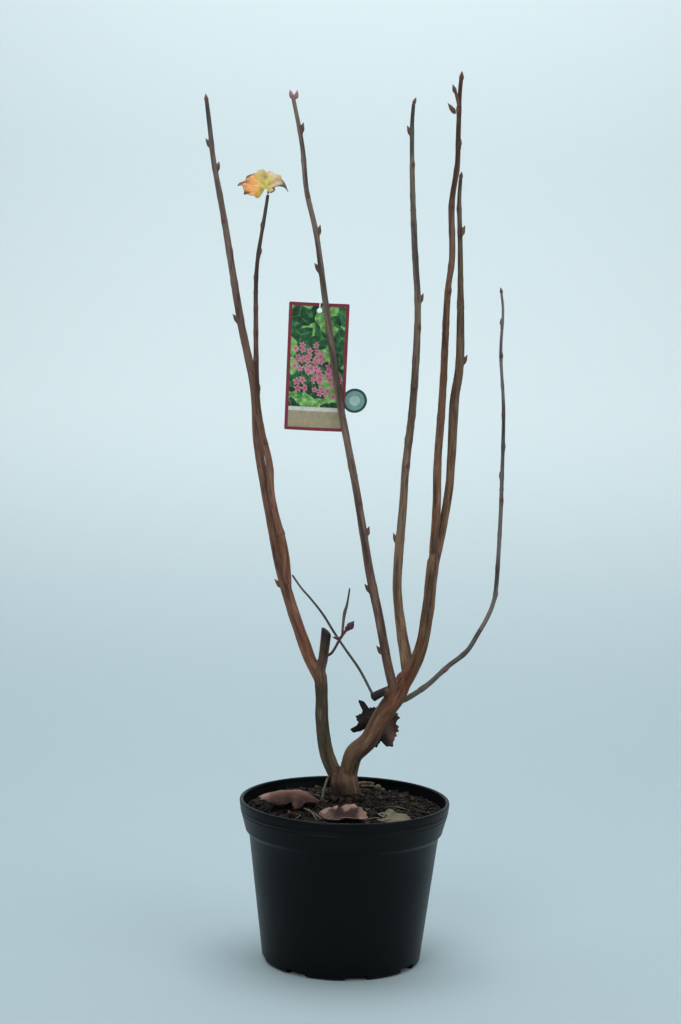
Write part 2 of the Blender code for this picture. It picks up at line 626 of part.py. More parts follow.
def tag_plane():
    """Where the card leans on the back of the cane in front of it: its middle and its lean."""
    cane = next(limb for limb in LIMBS if limb.name == "cane_c")
    points = centre_line(cane.route, 0.004)
    run = distances(points)
    half = 0.5 * TAG_HEIGHT

    def behind(up):
        index = at_height(points, up)
        radius = radius_at(run[index] / run[-1], cane.girth)
        return points[index].y + radius + GAP + 0.5 * TAG_THICKNESS

    top = behind(TAG_CENTRE[1] + half)
    foot = behind(TAG_CENTRE[1] - half)
    bulge = max(behind(TAG_CENTRE[1] + half * (k / 8.0))
                - (foot + (top - foot) * (0.5 + k / 16.0)) for k in range(-8, 9))
    return 0.5 * (top + foot) + bulge, math.atan2(top - foot, TAG_HEIGHT)


def build_tag():
    """A flat card with a round tab, a hole and a slit up to its top edge."""
    outline = [(-0.5 * TAG_WIDTH, -0.5 * TAG_HEIGHT), (0.5 * TAG_WIDTH, -0.5 * TAG_HEIGHT)]
    tab = (0.5 * TAG_WIDTH + TAB_REACH, -TAB_DROP)
    open_angle = math.degrees(math.acos(TAB_REACH / TAB_RADIUS))
    outline += arc(tab, TAB_RADIUS, 180.0 + open_angle, 540.0 - open_angle, 20)
    outline += [(0.5 * TAG_WIDTH, 0.5 * TAG_HEIGHT)]
    slit = 0.5 * SLIT_WIDTH
    side = math.degrees(math.asin(slit / HOLE_RADIUS))
    outline += [(HOLE_PLACE[0] + slit, 0.5 * TAG_HEIGHT)]
    outline += arc(HOLE_PLACE, HOLE_RADIUS, 90.0 - side, -270.0 + side, 12)
    outline += [(HOLE_PLACE[0] - slit, 0.5 * TAG_HEIGHT), (-0.5 * TAG_WIDTH, 0.5 * TAG_HEIGHT)]
    curve = bpy.data.curves.new("plant_tag", "CURVE")
    curve.dimensions = "2D"
    curve.fill_mode = "BOTH"
    curve.extrude = 0.5 * TAG_THICKNESS
    spline = curve.splines.new("POLY")
    spline.points.add(len(outline) - 1)
    for point, (across, up) in zip(spline.points, outline):
        point.co = (across, up, 0.0, 1.0)
    spline.use_cyclic_u = True
    tag = link(bpy.data.objects.new("plant_tag", curve), parts, "tag")
    depth, lean = tag_plane()
    upright = Matrix.Rotation(math.radians(90.0), 4, "X")
    tag.matrix_world = (Matrix.Translation((TAG_CENTRE[0], depth, TAG_CENTRE[1]))
                        @ Matrix.Rotation(-lean, 4, "X")
                        @ Matrix.Rotation(math.radians(TAG_ROLL), 4, "Y") @ upright)


def blade_rows(lobes, reach, least):
    """Flat rows of points from the stalk's end out to the margin, the middle lobe along +X."""
    rows = []
    for ring in range(1, BLADE_RINGS + 1):
        row = []
        for spoke in range(BLADE_SPOKES + 1):
            bearing = BLADE_SWEEP * (2.0 * spoke / BLADE_SPOKES - 1.0)
            length = max(least, *(size * math.exp(-((bearing - aim) / spread) ** 2)
                                 for aim, size, spread in lobes))
            radius = reach * length * ring / BLADE_RINGS
            row.append((radius * math.cos(math.radians(bearing)),
                        radius * math.sin(math.radians(bearing))))
        rows.append(row)
    return rows


def blade(name, key, flat, setting, shape):
    """A leaf blade from flat rows, bent by shape(x, y), thickened and set in its place."""
    work = bmesh.new()
    start = work.verts.new((0.0, 0.0, shape(0.0, 0.0)))
    rows = [[work.verts.new((x, y, shape(x, y))) for x, y in row] for row in flat]
    for spoke in range(BLADE_SPOKES):
        work.faces.new((start, rows[0][spoke], rows[0][spoke + 1]))
        for low, high in zip(rows, rows[1:]):
            work.faces.new((low[spoke], high[spoke], high[spoke + 1], low[spoke + 1]))
    bmesh.ops.recalc_face_normals(work, faces=work.faces)
    mesh = bpy.data.meshes.new(name)
    work.to_mesh(mesh)
    work.free()
    leaf = link(bpy.data.objects.new(name, mesh), parts, key)
    leaf.matrix_world = setting
    shell = leaf.modifiers.new("thickness", "SOLIDIFY")
    shell.thickness = BLADE_THICKNESS
    shell.offset = 0.0
    shell.use_even_offset = True
    return leaf


def basis(origin, forward, up):
    """A matrix with +X along forward and +Z as near to up as it can be."""
    x_axis = Vector(forward).normalized()
    z_axis = Vector(up) - x_axis * Vector(up).dot(x_axis)
    z_axis.normalize()
    y_axis = z_axis.cross(x_axis)
    turn = Matrix((x_axis, y_axis, z_axis)).transposed().to_4x4()
    return Matrix.Translation(origin) @ turn


def build_autumn_leaf(by_name):
    """The lobed autumn leaf on the tip of cane_b, its short stalk fused to it."""
    tip = place(by_name["cane_b"].route[-1])
    joint = tip + Vector(AUTUMN_LEAF_JOINT)

    def curl(x, y):
        tilt, ahead, left, right = AUTUMN_LEAF_BEND
        size, pace = AUTUMN_LEAF_WAVE
        return (tilt * x + ahead * x ** 2 + left * max(y, 0.0) ** 2 + right * min(y, 0.0) ** 4
                + size * math.sin(pace * (x + y)))

    flat = blade_rows(AUTUMN_LEAF_LOBES, AUTUMN_LEAF_REACH, AUTUMN_LEAF_LEAST)
    leaf = blade("autumn_leaf", "yellow_leaf", flat, basis(joint, *AUTUMN_LEAF_FACING), curl)
    stalk = tube("stalk", [tip + Vector(STALK_START), tip + Vector(STALK_MIDDLE), joint],
                 STALK_RADII, TWIG_SIDES)
    stalks = bpy.data.collections.new("stalks")
    bpy.context.scene.collection.children.link(stalks)
    stalks.objects.link(stalk)
    boolean(leaf, "UNION", group=stalks)
    clear(stalks)
    bpy.data.collections.remove(stalks)
    keep_largest(leaf.data)


def build_withered_leaf(by_name):
    """A dark shrivelled leaf caught behind the right stem, cut clear of it."""

    def crumple(x, y):
        depth, ahead, aside = WITHERED_LEAF_CRUMPLE
        return depth * math.sin(ahead * x + 1.0) * math.cos(aside * y)

    flat = blade_rows(WITHERED_LEAF_LOBES, WITHERED_LEAF_REACH, WITHERED_LEAF_LEAST)
    setting = basis(WITHERED_LEAF_PLACE, *WITHERED_LEAF_FACING)
    leaf = blade("withered_leaf", "dead_leaf", flat, setting, crumple)
    cutter = limb_tube(by_name["right_stem"], GAP)
    cutters.objects.link(cutter)
    boolean(leaf, "DIFFERENCE", cutter=cutter)
    clear(cutters)
    keep_largest(leaf.data)


def build_fallen_leaf(leaf):
    """A dry leaf on the compost, curled up at its edges or arched along its middle."""
    turn = Matrix.Rotation(math.radians(leaf.bearing), 3, "Z")
    setting = Matrix.Translation((*leaf.where, 0.0)) @ turn.to_4x4()
    middle_spread, side_spread = FALLEN_SPREADS
    lobes = ((0.0, 1.0, middle_spread), (FALLEN_SIDE_LOBE, leaf.width, side_spread),
             (-FALLEN_SIDE_LOBE, leaf.width, side_spread))
    flat = blade_rows(lobes, leaf.reach, FALLEN_LEAST)

    def rise(x, y):
        """Height of the bent blade over its lowest places, if it lay on a level floor."""
        across, along = y / leaf.reach, x / leaf.reach
        ridge = max(1.0 - (across / ARCH_WIDTH) ** 2, 0.0) * (1.0 - (along - ARCH_MIDDLE) ** 2)
        back = (turn @ Vector((along, across, 0.0))).y
        return (leaf.sides * across ** 2 + leaf.ends * along ** 2 + leaf.arch * ridge
                + leaf.tilt * back)

    lowest = min(rise(x, y) for row in flat for x, y in row)

    def lie(x, y):
        radius = (setting @ Vector((x, y, 0.0))).xy.length
        return soil_height(radius) + 2 * GAP + 0.5 * BLADE_THICKNESS + rise(x, y) - lowest

    blade(leaf.name, leaf.key, flat, setting, lie)


def main():
    for obj in list(bpy.data.objects):
        bpy.data.objects.remove(obj)
    bpy.context.scene.collection.children.link(parts)
    bpy.context.scene.collection.children.link(cutters)
    dice = random.Random(SEED)
    by_name = {limb.name: limb for limb in LIMBS}
    build_pot()
    build_soil()
    for limb in LIMBS:
        build_limb(limb, by_name, dice)
    build_tag()
    build_autumn_leaf(by_name)
    build_withered_leaf(by_name)
    for leaf in FALLEN_LEAVES:
        build_fallen_leaf(leaf)


main()
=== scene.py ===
"""Looks of a potted clove currant in late autumn: bark, winter buds, the last leaf, dry leaves,
a printed plant tag, a nursery pot of compost, and a plain studio.

Metres, +Z up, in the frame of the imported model: the origin is the centre of the pot's flat
underside and -Y is the front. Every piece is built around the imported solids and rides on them.
"""

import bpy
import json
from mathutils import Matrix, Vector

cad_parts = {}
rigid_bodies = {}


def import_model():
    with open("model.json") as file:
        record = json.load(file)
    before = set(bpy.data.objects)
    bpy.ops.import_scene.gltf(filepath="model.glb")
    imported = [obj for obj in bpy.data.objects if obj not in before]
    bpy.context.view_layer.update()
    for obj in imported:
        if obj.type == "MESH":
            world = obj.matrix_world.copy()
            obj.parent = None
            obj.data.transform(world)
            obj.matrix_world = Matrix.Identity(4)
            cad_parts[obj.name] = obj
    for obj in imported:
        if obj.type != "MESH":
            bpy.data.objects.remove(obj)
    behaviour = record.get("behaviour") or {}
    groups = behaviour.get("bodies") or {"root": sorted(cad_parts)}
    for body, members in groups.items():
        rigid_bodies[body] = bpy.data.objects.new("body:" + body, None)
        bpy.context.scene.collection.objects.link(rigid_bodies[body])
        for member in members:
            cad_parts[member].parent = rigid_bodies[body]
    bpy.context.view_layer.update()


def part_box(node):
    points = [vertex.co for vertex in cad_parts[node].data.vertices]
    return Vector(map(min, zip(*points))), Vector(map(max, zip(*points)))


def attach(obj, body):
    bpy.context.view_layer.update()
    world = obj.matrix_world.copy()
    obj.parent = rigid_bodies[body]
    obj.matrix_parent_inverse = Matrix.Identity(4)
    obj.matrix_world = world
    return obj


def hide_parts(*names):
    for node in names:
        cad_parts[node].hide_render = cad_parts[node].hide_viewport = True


bl_info = {
    "name": "Potted Clove Currant",
    "version": (1, 0, 0),
    "blender": (4, 5, 0),
    "location": "View3D > Sidebar > Currant",
    "description": "Builds bark, buds, leaves, tag, pot and studio around the packed plant",
    "category": "Add Mesh",
}

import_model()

import json
import math
import random
from collections import namedtuple
from functools import partial

import bmesh
import bpy
import numpy as np
from bpy.props import FloatProperty, FloatVectorProperty, IntProperty, PointerProperty
from mathutils import Matrix, Vector, noise

TAU = 2.0 * math.pi
GAP = 0.0003

# The pot, as its solid has it, with a finer lip
POT_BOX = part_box("pot")
RIM_RADIUS = POT_BOX[1].x
POT_HEIGHT = POT_BOX[1].z
RIM_BAND = 0.031
BAND_FOOT_RADIUS = 0.0975
BODY_TOP_RADIUS = 0.0935
BASE_RADIUS = 0.0785
BASE_ROUNDING = 0.0045
WALL = 0.0016
RIM_LIP = 0.0018
LIP_DROP = 0.007
BAND_STEP = 0.0012
BAND_TURN = 0.002
MOULDED_LINES = (0.0100, 0.0135)    # how far under the top the band's two faint lines are
LINE_HALF = 0.0008
LINE_RISE = 0.0003
SHOULDER = 0.004
NOTCHES = 8
NOTCH_SIZE = (0.026, 0.022, 0.011)
NOTCH_INSET = 0.004
NOTCH_TURN = 11.0

# The compost's mound
SOIL_EDGE_HEIGHT = 0.1490
SOIL_EDGE_RADIUS = 0.0925
SOIL_CROWN_HEIGHT = 0.1555
SOIL_CROWN_RADIUS = 0.046
CROWN_PLACE = (0.003, 0.012)    # where the stems stand in it, across and deep
HEAP_HEIGHT = 0.0120            # the compost is drawn up round their foot this much
HEAP_SPREAD = 0.022
BED_RINGS = 56
BED_SPOKES = 168
BED_REACH = 0.0978
PLUG = ((BODY_TOP_RADIUS - WALL - 2 * GAP, 0.1280), (BASE_RADIUS - WALL - 2 * GAP, 0.0060),
        (0.0720, 0.0020))       # (radius, height) of its rings under the surface
CRUMB_REACH = 0.0945
CRUMB_SHARES = (0.48, 0.76, 0.86)   # peat, then bark, then fibre; the rest is moss
STEM_CLEAR = 0.0145             # crumbs nearer than this to the stems' foot
STEM_PUSH = 0.032               # are moved out by this much
STICK_REACH = 0.083
STICK_LIMIT = 0.092

# Bark
COLLAR_SPACING = 0.21           # growth collars along a cane
COLLAR_WIDTH = 0.0011
COLLAR_HEIGHT = 0.00028
OLD_BARK = (0.0022, 0.0080)     # radii between which the ridges come up
SWELL_WIDTH = 0.0038            # a cane's swelling at a bud
SWELL_REACH = 0.012
LEDGE_DROP = 0.0042             # the leaf scar's ledge, so far under the bud
LEDGE_WIDTH = 0.0012
THICK_CANE = 0.0035             # a cane with this radius or more has more sides
CANE_SIDES = (14, 18)
TWIG_SIDES = 12
TWIG_STEP = 0.0010
FLARE_BAND = (0.186, 0.158)     # heights between which the root flare's ridges set in
DARK_FOOT_BAND = (0.172, 0.157)      # and between which the bark turns darker towards the foot

# Buds, by the rule that the solids follow
BUD_LENGTH = 0.0085
BUD_WIDTH = 0.0034
BUD_SPLAY = 24.0
BUD_SHOWN = 1.3
BUD_SECTOR = 0.45
NODE_SPACING = 0.029
NODE_TURN = 144.0
BUD_CLEAR = 0.016
YOUNG_WOOD = 0.0078
BUD_LINE_STEP = 0.004
SCALE_START = 0.16              # share of a bud's length where its first scale ends
SCALE_SPACING = 0.165
SCALE_WAVE = 0.09
SEAM_WIDTH = 0.045
SEED = 11

# The tag's card
TAG_WIDTH = 0.057
TAG_HEIGHT = 0.123
TAG_THICKNESS = 0.001
TAG_CENTRE = (-0.0365, 0.586)
TAG_ROLL = 1.3
TAB_RADIUS = 0.0118
TAB_REACH = 0.0090
TAB_DROP = 0.0310
HOLE_RADIUS = 0.0024
HOLE_PLACE = (0.0005, 0.0545)
SLIT_WIDTH = 0.0009
CARD_CORNER = 0.0012
CARD_SHEET = 0.0005
CARD_CUTS = 16
STRIPE_TOP = -0.0385            # heights on the card, from its middle
PANEL_TOP = -0.0425
TAB_DISC = 0.80                 # shares of the tab's radius
TAB_HEART = 0.42
FLOWERS = (                     # (pitch, seed, clusters of (across, up, reach))
    (0.62, 7.7, ((-0.010, 0.010, 0.0150), (0.010, -0.016, 0.0140))),
    (0.74, 5.2, ((-0.016, -0.020, 0.0080), (0.002, 0.000, 0.0120))),
)

# The camera, worked out from the pot's rim and base and the plant's height in the view
CAMERA_PLACE = (-0.0107, -2.1006, 0.654)
CAMERA_LENS = 76.2
CAMERA_PITCH = 0.0994
CAMERA_ROLL = 0.0235
LIGHTS = (                      # (name, size, place, aim)
    ("key", 1.2, (-0.8, -1.8, 1.5), (0.0, 0.0, 0.45)),
    ("fill", 1.5, (1.5, -1.1, 1.1), (0.0, 0.0, 0.40)),
    ("top", 1.8, (0.0, 0.5, 2.3), (0.0, 1.5, 0.7)),
)

# route: (up, across, depth) stations in metres from foot to tip; girth: diameters at even steps
# foot_bark, tip_bark: bark colours; buds: (up, bearing) of the buds that stand out
# young: the limb's buds follow the spiral rule
Limb = namedtuple("Limb", "name route girth foot_bark tip_bark young buds",
                  defaults=(False, ()))

LIMBS = (
    Limb("root_crown",
         ((0.150, 0.003, 0.012), (0.164, 0.002, 0.012), (0.174, -0.001, 0.012),
          (0.184, -0.003, 0.012), (0.1875, -0.003, 0.012)),
         (0.0300, 0.0268, 0.0275, 0.0285, 0.0180), "#4a382d", "#63432a"),
    Limb("left_stem",
         ((0.174, -0.006, 0.012), (0.188, -0.0125, 0.012), (0.205, -0.0192, 0.012),
          (0.234, -0.024, 0.012), (0.256, -0.025, 0.012), (0.286, -0.027, 0.013)),
         (0.0145, 0.0140, 0.0130, 0.0122, 0.0130), "#544834", "#403522"),
    Limb("right_stem",
         ((0.172, 0.003, 0.012), (0.188, 0.004, 0.011), (0.203, 0.0085, 0.010),
          (0.217, 0.022, 0.009), (0.231, 0.029, 0.009), (0.247, 0.0378, 0.008),
          (0.2605, 0.0470, 0.008), (0.287, 0.0595, 0.009)),
         (0.0172, 0.0178, 0.0188, 0.0180, 0.0172, 0.0176, 0.0194, 0.0174,
          0.0154),
         "#66573f", "#743a1e"),
    Limb("cane_a",
         ((0.279, -0.028, 0.014), (0.305, -0.041, 0.016), (0.372, -0.065, 0.022),
          (0.422, -0.077, 0.026), (0.481, -0.089, 0.030), (0.518, -0.095, 0.033),
          (0.564, -0.099, 0.036), (0.627, -0.1135, 0.044), (0.725, -0.1322, 0.060),
          (0.781, -0.144, 0.070), (0.816, -0.149, 0.074), (0.844, -0.153, 0.078)),
         (0.0124, 0.0114, 0.0096, 0.0090, 0.0082, 0.0074, 0.0066, 0.0054, 0.0040),
         "#8a563b", "#5f5856", True, ((0.802, 180), (0.777, 0), (0.629, 180), (0.373, 180))),
    Limb("pruned_stub",
         ((0.284, -0.0265, 0.013), (0.301, -0.0242, 0.012), (0.325, -0.0220, 0.010)),
         (0.0098, 0.0096, 0.0100), "#674d3e", "#1b160f"),
    Limb("cane_b",
         ((0.374, -0.061, 0.019), (0.405, -0.065, 0.018), (0.452, -0.078, 0.020),
          (0.489, -0.082, 0.022), (0.521, -0.090, 0.024), (0.552, -0.095, 0.026),
          (0.628, -0.098, 0.030), (0.682, -0.098, 0.034), (0.735, -0.091, 0.038),
          (0.751, -0.089, 0.040)),
         (0.0076, 0.0074, 0.0072, 0.0062, 0.0050, 0.0044, 0.0038, 0.0032),
         "#8f5d46", "#3d342d", True),
    Limb("cane_e",
         ((0.279, 0.0585, 0.007), (0.292, 0.0640, 0.0035), (0.3095, 0.0703, 0.000),
          (0.330, 0.0742, -0.0035), (0.361, 0.0775, -0.008), (0.405, 0.0805, -0.014)),
         (0.0135, 0.0122, 0.0118, 0.0122), "#6d4227", "#7f5d42"),
    Limb("cane_d",
         ((0.284, 0.0600, 0.012), (0.308, 0.0558, 0.015), (0.326, 0.0524, 0.017),
          (0.373, 0.047, 0.022), (0.451, 0.051, 0.030), (0.486, 0.0525, 0.033),
          (0.553, 0.0585, 0.040), (0.636, 0.061, 0.048), (0.695, 0.057, 0.053),
          (0.759, 0.053, 0.060), (0.818, 0.051, 0.066), (0.845, 0.052, 0.068)),
         (0.0134, 0.0094, 0.0090, 0.0078, 0.0076, 0.0072, 0.0064, 0.0060, 0.0048, 0.0036),
         "#97755a", "#4f534f", True, ((0.820, 180), (0.653, 0), (0.415, 180))),
    Limb("cane_c",
         ((0.266, 0.047, 0.006), (0.300, 0.038, -0.002), (0.340, 0.030, -0.010),
          (0.388, 0.019, -0.018), (0.469, 0.004, -0.030), (0.555, -0.014, -0.042),
          (0.645, -0.029, -0.055), (0.709, -0.039, -0.064), (0.750, -0.049, -0.070),
          (0.791, -0.054, -0.075), (0.834, -0.063, -0.082)),
         (0.0096, 0.0090, 0.0082, 0.0073, 0.0069, 0.0065, 0.0060, 0.0050, 0.0046, 0.0036),
         "#6a493c", "#85746a", True,
         ((0.808, 0), (0.712, 0), (0.679, 180), (0.429, 0), (0.373, 180), (0.312, 180))),
    Limb("cane_e_left",
         ((0.398, 0.0795, -0.0145), (0.450, 0.0818, -0.019), (0.499, 0.0815, -0.023),
          (0.557, 0.084, -0.028), (0.614, 0.085, -0.033), (0.661, 0.086, -0.038),
          (0.694, 0.089, -0.041), (0.741, 0.087, -0.045), (0.778, 0.091, -0.049),
          (0.810, 0.091, -0.052), (0.840, 0.091, -0.056), (0.858, 0.092, -0.058)),
         (0.0086, 0.0082, 0.0080, 0.0076, 0.0070, 0.0066, 0.0057, 0.0060, 0.0052, 0.0046,
          0.0036),
         "#7e563c", "#6b4636", True),
    Limb("cane_e_right",
         ((0.398, 0.0825, -0.011), (0.431, 0.0885, -0.009), (0.469, 0.0935, -0.011),
          (0.498, 0.0950, -0.013), (0.552, 0.0960, -0.018), (0.586, 0.0995, -0.024),
          (0.624, 0.0995, -0.029), (0.695, 0.0968, -0.038), (0.730, 0.0948, -0.042),
          (0.748, 0.0940, -0.044), (0.767, 0.0946, -0.046)),
         (0.0084, 0.0084, 0.0082, 0.0094, 0.0086, 0.0076, 0.0052, 0.0046, 0.0034),
         "#88634a", "#4a4032", True, ((0.716, 0), (0.597, 0))),
    Limb("cane_f_lower",
         ((0.2545, 0.047, 0.009), (0.2594, 0.059, 0.013), (0.2712, 0.079, 0.023),
          (0.2880, 0.099, 0.035), (0.3024, 0.119, 0.048), (0.3226, 0.1323, 0.056)),
         (0.0060, 0.0052, 0.0048, 0.0046), "#43473f", "#36373f", True),
    Limb("cane_f_upper",
         ((0.3220, 0.1320, 0.0558), (0.3340, 0.1389, 0.060), (0.3488, 0.1450, 0.064),
          (0.3650, 0.1480, 0.067), (0.412, 0.150, 0.071), (0.463, 0.151, 0.075),
          (0.543, 0.151, 0.082), (0.598, 0.147, 0.087), (0.641, 0.148, 0.090),
          (0.661, 0.146, 0.092)),
         (0.0046, 0.0043, 0.0041, 0.0037, 0.0032, 0.0026), "#6c6461", "#767576", True),
    Limb("dead_spur",
         ((0.271, 0.045, 0.007), (0.2655, 0.032, 0.004), (0.2612, 0.024, 0.002)),
         (0.0080, 0.0084, 0.0092), "#291709", "#0b0403"),
    Limb("thin_twig",
         ((0.264, 0.0255, 0.003), (0.288, 0.012, 0.006), (0.3080, -0.0026, 0.008),
          (0.3240, -0.0139, 0.010), (0.3412, -0.0252, 0.012), (0.3548, -0.0365, 0.0145),
          (0.3667, -0.0477, 0.018), (0.3785, -0.0570, 0.0255)),
         (0.0028, 0.0025, 0.0023, 0.0020), "#5c5451", "#403f3e"),
    Limb("budded_twig",
         ((0.300, -0.024, 0.009), (0.304, -0.017, 0.004), (0.310, -0.013, 0.002),
          (0.320, -0.008, 0.000), (0.328, -0.003, -0.002), (0.332, 0.000, -0.003)),
         (0.0028, 0.0026, 0.0028, 0.0030), "#3b352c", "#63373b"),
)

# Side shoots: (limb, route, girth)
SHOOTS = (
    ("cane_e_left",
     ((0.832, 0.0910, -0.056), (0.839, 0.0890, -0.058), (0.845, 0.0868, -0.060)),
     (0.0040, 0.0036, 0.0028)),
    ("budded_twig",
     ((0.321, -0.0065, 0.000), (0.343, -0.0048, -0.003), (0.353, -0.0025, -0.004),
      (0.361, -0.0012, -0.005), (0.371, 0.000, -0.006)),
     (0.0022, 0.0026, 0.0034, 0.0020, 0.0016)),
)

# Buds at the tips and fat buds: (limb, centre, direction, length, width)
TIP_BUDS = (
    ("cane_a", (-0.1535, 0.0785, 0.846), (-0.15, 0.10, 1.0), 0.0090, 0.0040),
    ("cane_c", (-0.0650, -0.0825, 0.837), (-0.35, -0.10, 1.0), 0.0090, 0.0042),
    ("cane_c", (-0.0600, -0.0815, 0.837), (0.15, -0.05, 1.0), 0.0085, 0.0038),
    ("cane_d", (0.0530, 0.0685, 0.847), (0.35, 0.05, 1.0), 0.0080, 0.0036),
    ("cane_e_left", (0.0922, -0.0585, 0.8595), (0.05, -0.10, 1.0), 0.0095, 0.0042),
    ("cane_e_left", (0.0855, -0.0605, 0.8475), (-0.35, -0.10, 1.0), 0.0090, 0.0038),
    ("cane_e_left", (0.0838, -0.0555, 0.8300), (-0.61, -0.05, 0.79), 0.0125, 0.0044),
    ("cane_e_right", (0.0950, -0.0462, 0.769), (0.10, -0.05, 1.0), 0.0075, 0.0036),
    ("cane_f_upper", (0.1457, 0.0921, 0.663), (-0.20, 0.05, 1.0), 0.0070, 0.0030),
    ("budded_twig", (0.0023, -0.0035, 0.3342), (0.55, -0.10, 0.8), 0.0100, 0.0068),
    ("budded_twig", (0.0000, -0.0010, 0.3305), (0.90, -0.20, 0.2), 0.0080, 0.0050),
    ("budded_twig", (-0.0120, 0.0000, 0.3205), (-0.90, -0.10, 0.2), 0.0085, 0.0034),
)

# The grown-together wood at the forks: how far each limb is part of it, in metres, and the limb
# that its foot grows out of
FORK_WOOD = {
    "root_crown": (1.0, None), "left_stem": (1.0, "root_crown"),
    "right_stem": (1.0, "root_crown"), "cane_e": (1.0, "right_stem"),
    "dead_spur": (1.0, "right_stem"), "pruned_stub": (0.016, "left_stem"),
    "cane_a": (0.150, "left_stem"), "cane_b": (0.050, "cane_a"),
    "cane_c": (0.048, "right_stem"), "cane_d": (0.048, "right_stem"),
    "cane_e_left": (0.040, "cane_e"), "cane_e_right": (0.040, "cane_e"),
    "cane_f_lower": (0.034, "right_stem"),
}
FORK_PEG = 0.005        # each cane starts this far before the fork wood ends inside it
FORK_ROOT = 0.022       # a foot runs this far back into the limb it grows out of
ROOT_STEPS = 14
ROOT_TAPER = 0.50       # how thin it is at its start
FORK_SIDES = 20
FORK_PINCH = 0.12
FORK_SMOOTHING = ((0.62, 26), (0.35, 2))    # (weight, rounds) at the forks, then all over
BARK_BLEND = 0.0016     # the limbs' colours run together over this distance

# Leaf lobes: (bearing, share of the reach, spread in degrees), as the solids have them
BLADE_SWEEP = 150.0
TOOTH_SPACING = 11.0
VEIN_WIDTH = 0.0009
VEIN_DEPTH = 0.00035
AUTUMN_LEAF_REACH = 0.031
AUTUMN_LEAF_LOBES = ((5.0, 1.0, 26.0), (-14.0, 1.0, 24.0), (-32.0, 0.96, 24.0),
                     (-50.0, 1.0, 19.0), (20.0, 0.86, 34.0), (34.0, 0.97, 26.0),
                     (48.0, 0.82, 34.0), (61.0, 0.97, 24.0), (78.0, 0.72, 36.0),
                     (95.0, 0.70, 28.0), (115.0, 0.60, 36.0), (135.0, 0.50, 32.0))
AUTUMN_LEAF_LEAST = 0.30
AUTUMN_LEAF_VEINS = (-50.0, -14.0, 34.0, 61.0)
AUTUMN_LEAF_TIPS = (34.0, 61.0, 97.0)               # bearings of the scorched tips
SCORCH_SPREAD = 10.0
AUTUMN_LEAF_BEND = (0.10, -5.0, -9.0, -51000.0)     # along, along^2, left^2, right^4
AUTUMN_LEAF_WAVE = (0.0012, 260.0)
AUTUMN_LEAF_JOINT = (-0.002, -0.007, 0.006)         # from the cane's tip
AUTUMN_LEAF_FACING = ((-0.10, 0.75, 0.62), (0.05, -0.62, 0.78))     # forward, up
STALK_START = (0.0002, 0.0, 0.0010)
STALK_MIDDLE = (0.0, -0.004, 0.005)

WITHERED_LEAF_PLACE = (0.028, 0.0200, 0.232)
WITHERED_LEAF_REACH = 0.030
WITHERED_LEAF_LOBES = ((62.6, 0.96, 15.0), (100.0, 0.66, 30.0), (136.0, 0.83, 20.0),
                       (-10.0, 0.90, 26.0), (-40.0, 0.86, 34.0), (-76.0, 0.84, 46.0),
                       (-94.0, 0.86, 40.0), (-110.0, 0.95, 28.0), (-150.0, 0.80, 36.0))
WITHERED_LEAF_LEAST = 0.56
WITHERED_LEAF_VEINS = (-108.0, -25.0, 62.6)
WITHERED_LEAF_SHEET = 0.00045
WITHERED_LEAF_CRUMPLE = (0.004, 190.0, 150.0)
WITHERED_LEAF_FACING = ((0.50, 0.05, 0.87), (0.0, -1.0, 0.0))

# Leaves on the compost. where: the stalk's end; width: the side lobes' length; sides, ends: how
# far the edges curl up; arch: a ridge along the middle; tilt: how far the back is raised
FallenLeaf = namedtuple("FallenLeaf", "name where bearing reach width sides ends arch tilt")

FALLEN_LEAVES = (
    FallenLeaf("fallen_leaf_left", (-0.038, -0.016), 180.0, 0.046, 0.52, 0.000, 0.0020,
               0.0150, 0.0),
    FallenLeaf("fallen_leaf_front", (-0.015, -0.063), -6.0, 0.037, 0.42, 0.050, 0.0050,
               0.0, 0.0020),
    FallenLeaf("fallen_leaf_right", (0.039, -0.054), -4.0, 0.025, 0.60, 0.008, 0.0020,
               0.0, 0.0040),
)
FALLEN_SIDE_LOBE = 64.0
FALLEN_SPREADS = (58.0, 40.0)
FALLEN_LEAST = 0.36
FALLEN_CLEARANCE = 0.0016
FALLEN_SHEET = 0.0004
ARCH_WIDTH = 0.52
ARCH_MIDDLE = 0.45


def linear(code):
    """The linear colour of an sRGB hex code."""
    shares = [int(code[i:i + 2], 16) / 255.0 for i in (1, 3, 5)]
    return tuple(c / 12.92 if c <= 0.04045 else ((c + 0.055) / 1.055) ** 2.4 for c in shares)


def blend(first, second, share):
    """A colour between two linear colours."""
    share = min(max(share, 0.0), 1.0)
    return tuple(a + (b - a) * share for a, b in zip(first, second))


def smooth(low, high, value):
    """0 under low, 1 over high and an even curve between them."""
    share = min(max((value - low) / (high - low), 0.0), 1.0)
    return share * share * (3.0 - 2.0 * share)


def colour_setting(name, code, about):
    return FloatVectorProperty(name=name, description=about, subtype="COLOR", size=3,
                               min=0.0, max=1.0, default=linear(code))


def length_setting(name, metres, about):
    return FloatProperty(name=name, description=about, subtype="DISTANCE", unit="LENGTH",
                         min=0.0, default=metres, precision=5)


def share_setting(name, share, about):
    return FloatProperty(name=name, description=about, subtype="FACTOR", min=0.0, max=1.0,
                         default=share)


def power_setting(name, watts, about):
    return FloatProperty(name=name, description=about, subtype="POWER", unit="POWER",
                         min=0.0, default=watts)


def count_setting(name, count, about):
    return IntProperty(name=name, description=about, min=0, default=count)


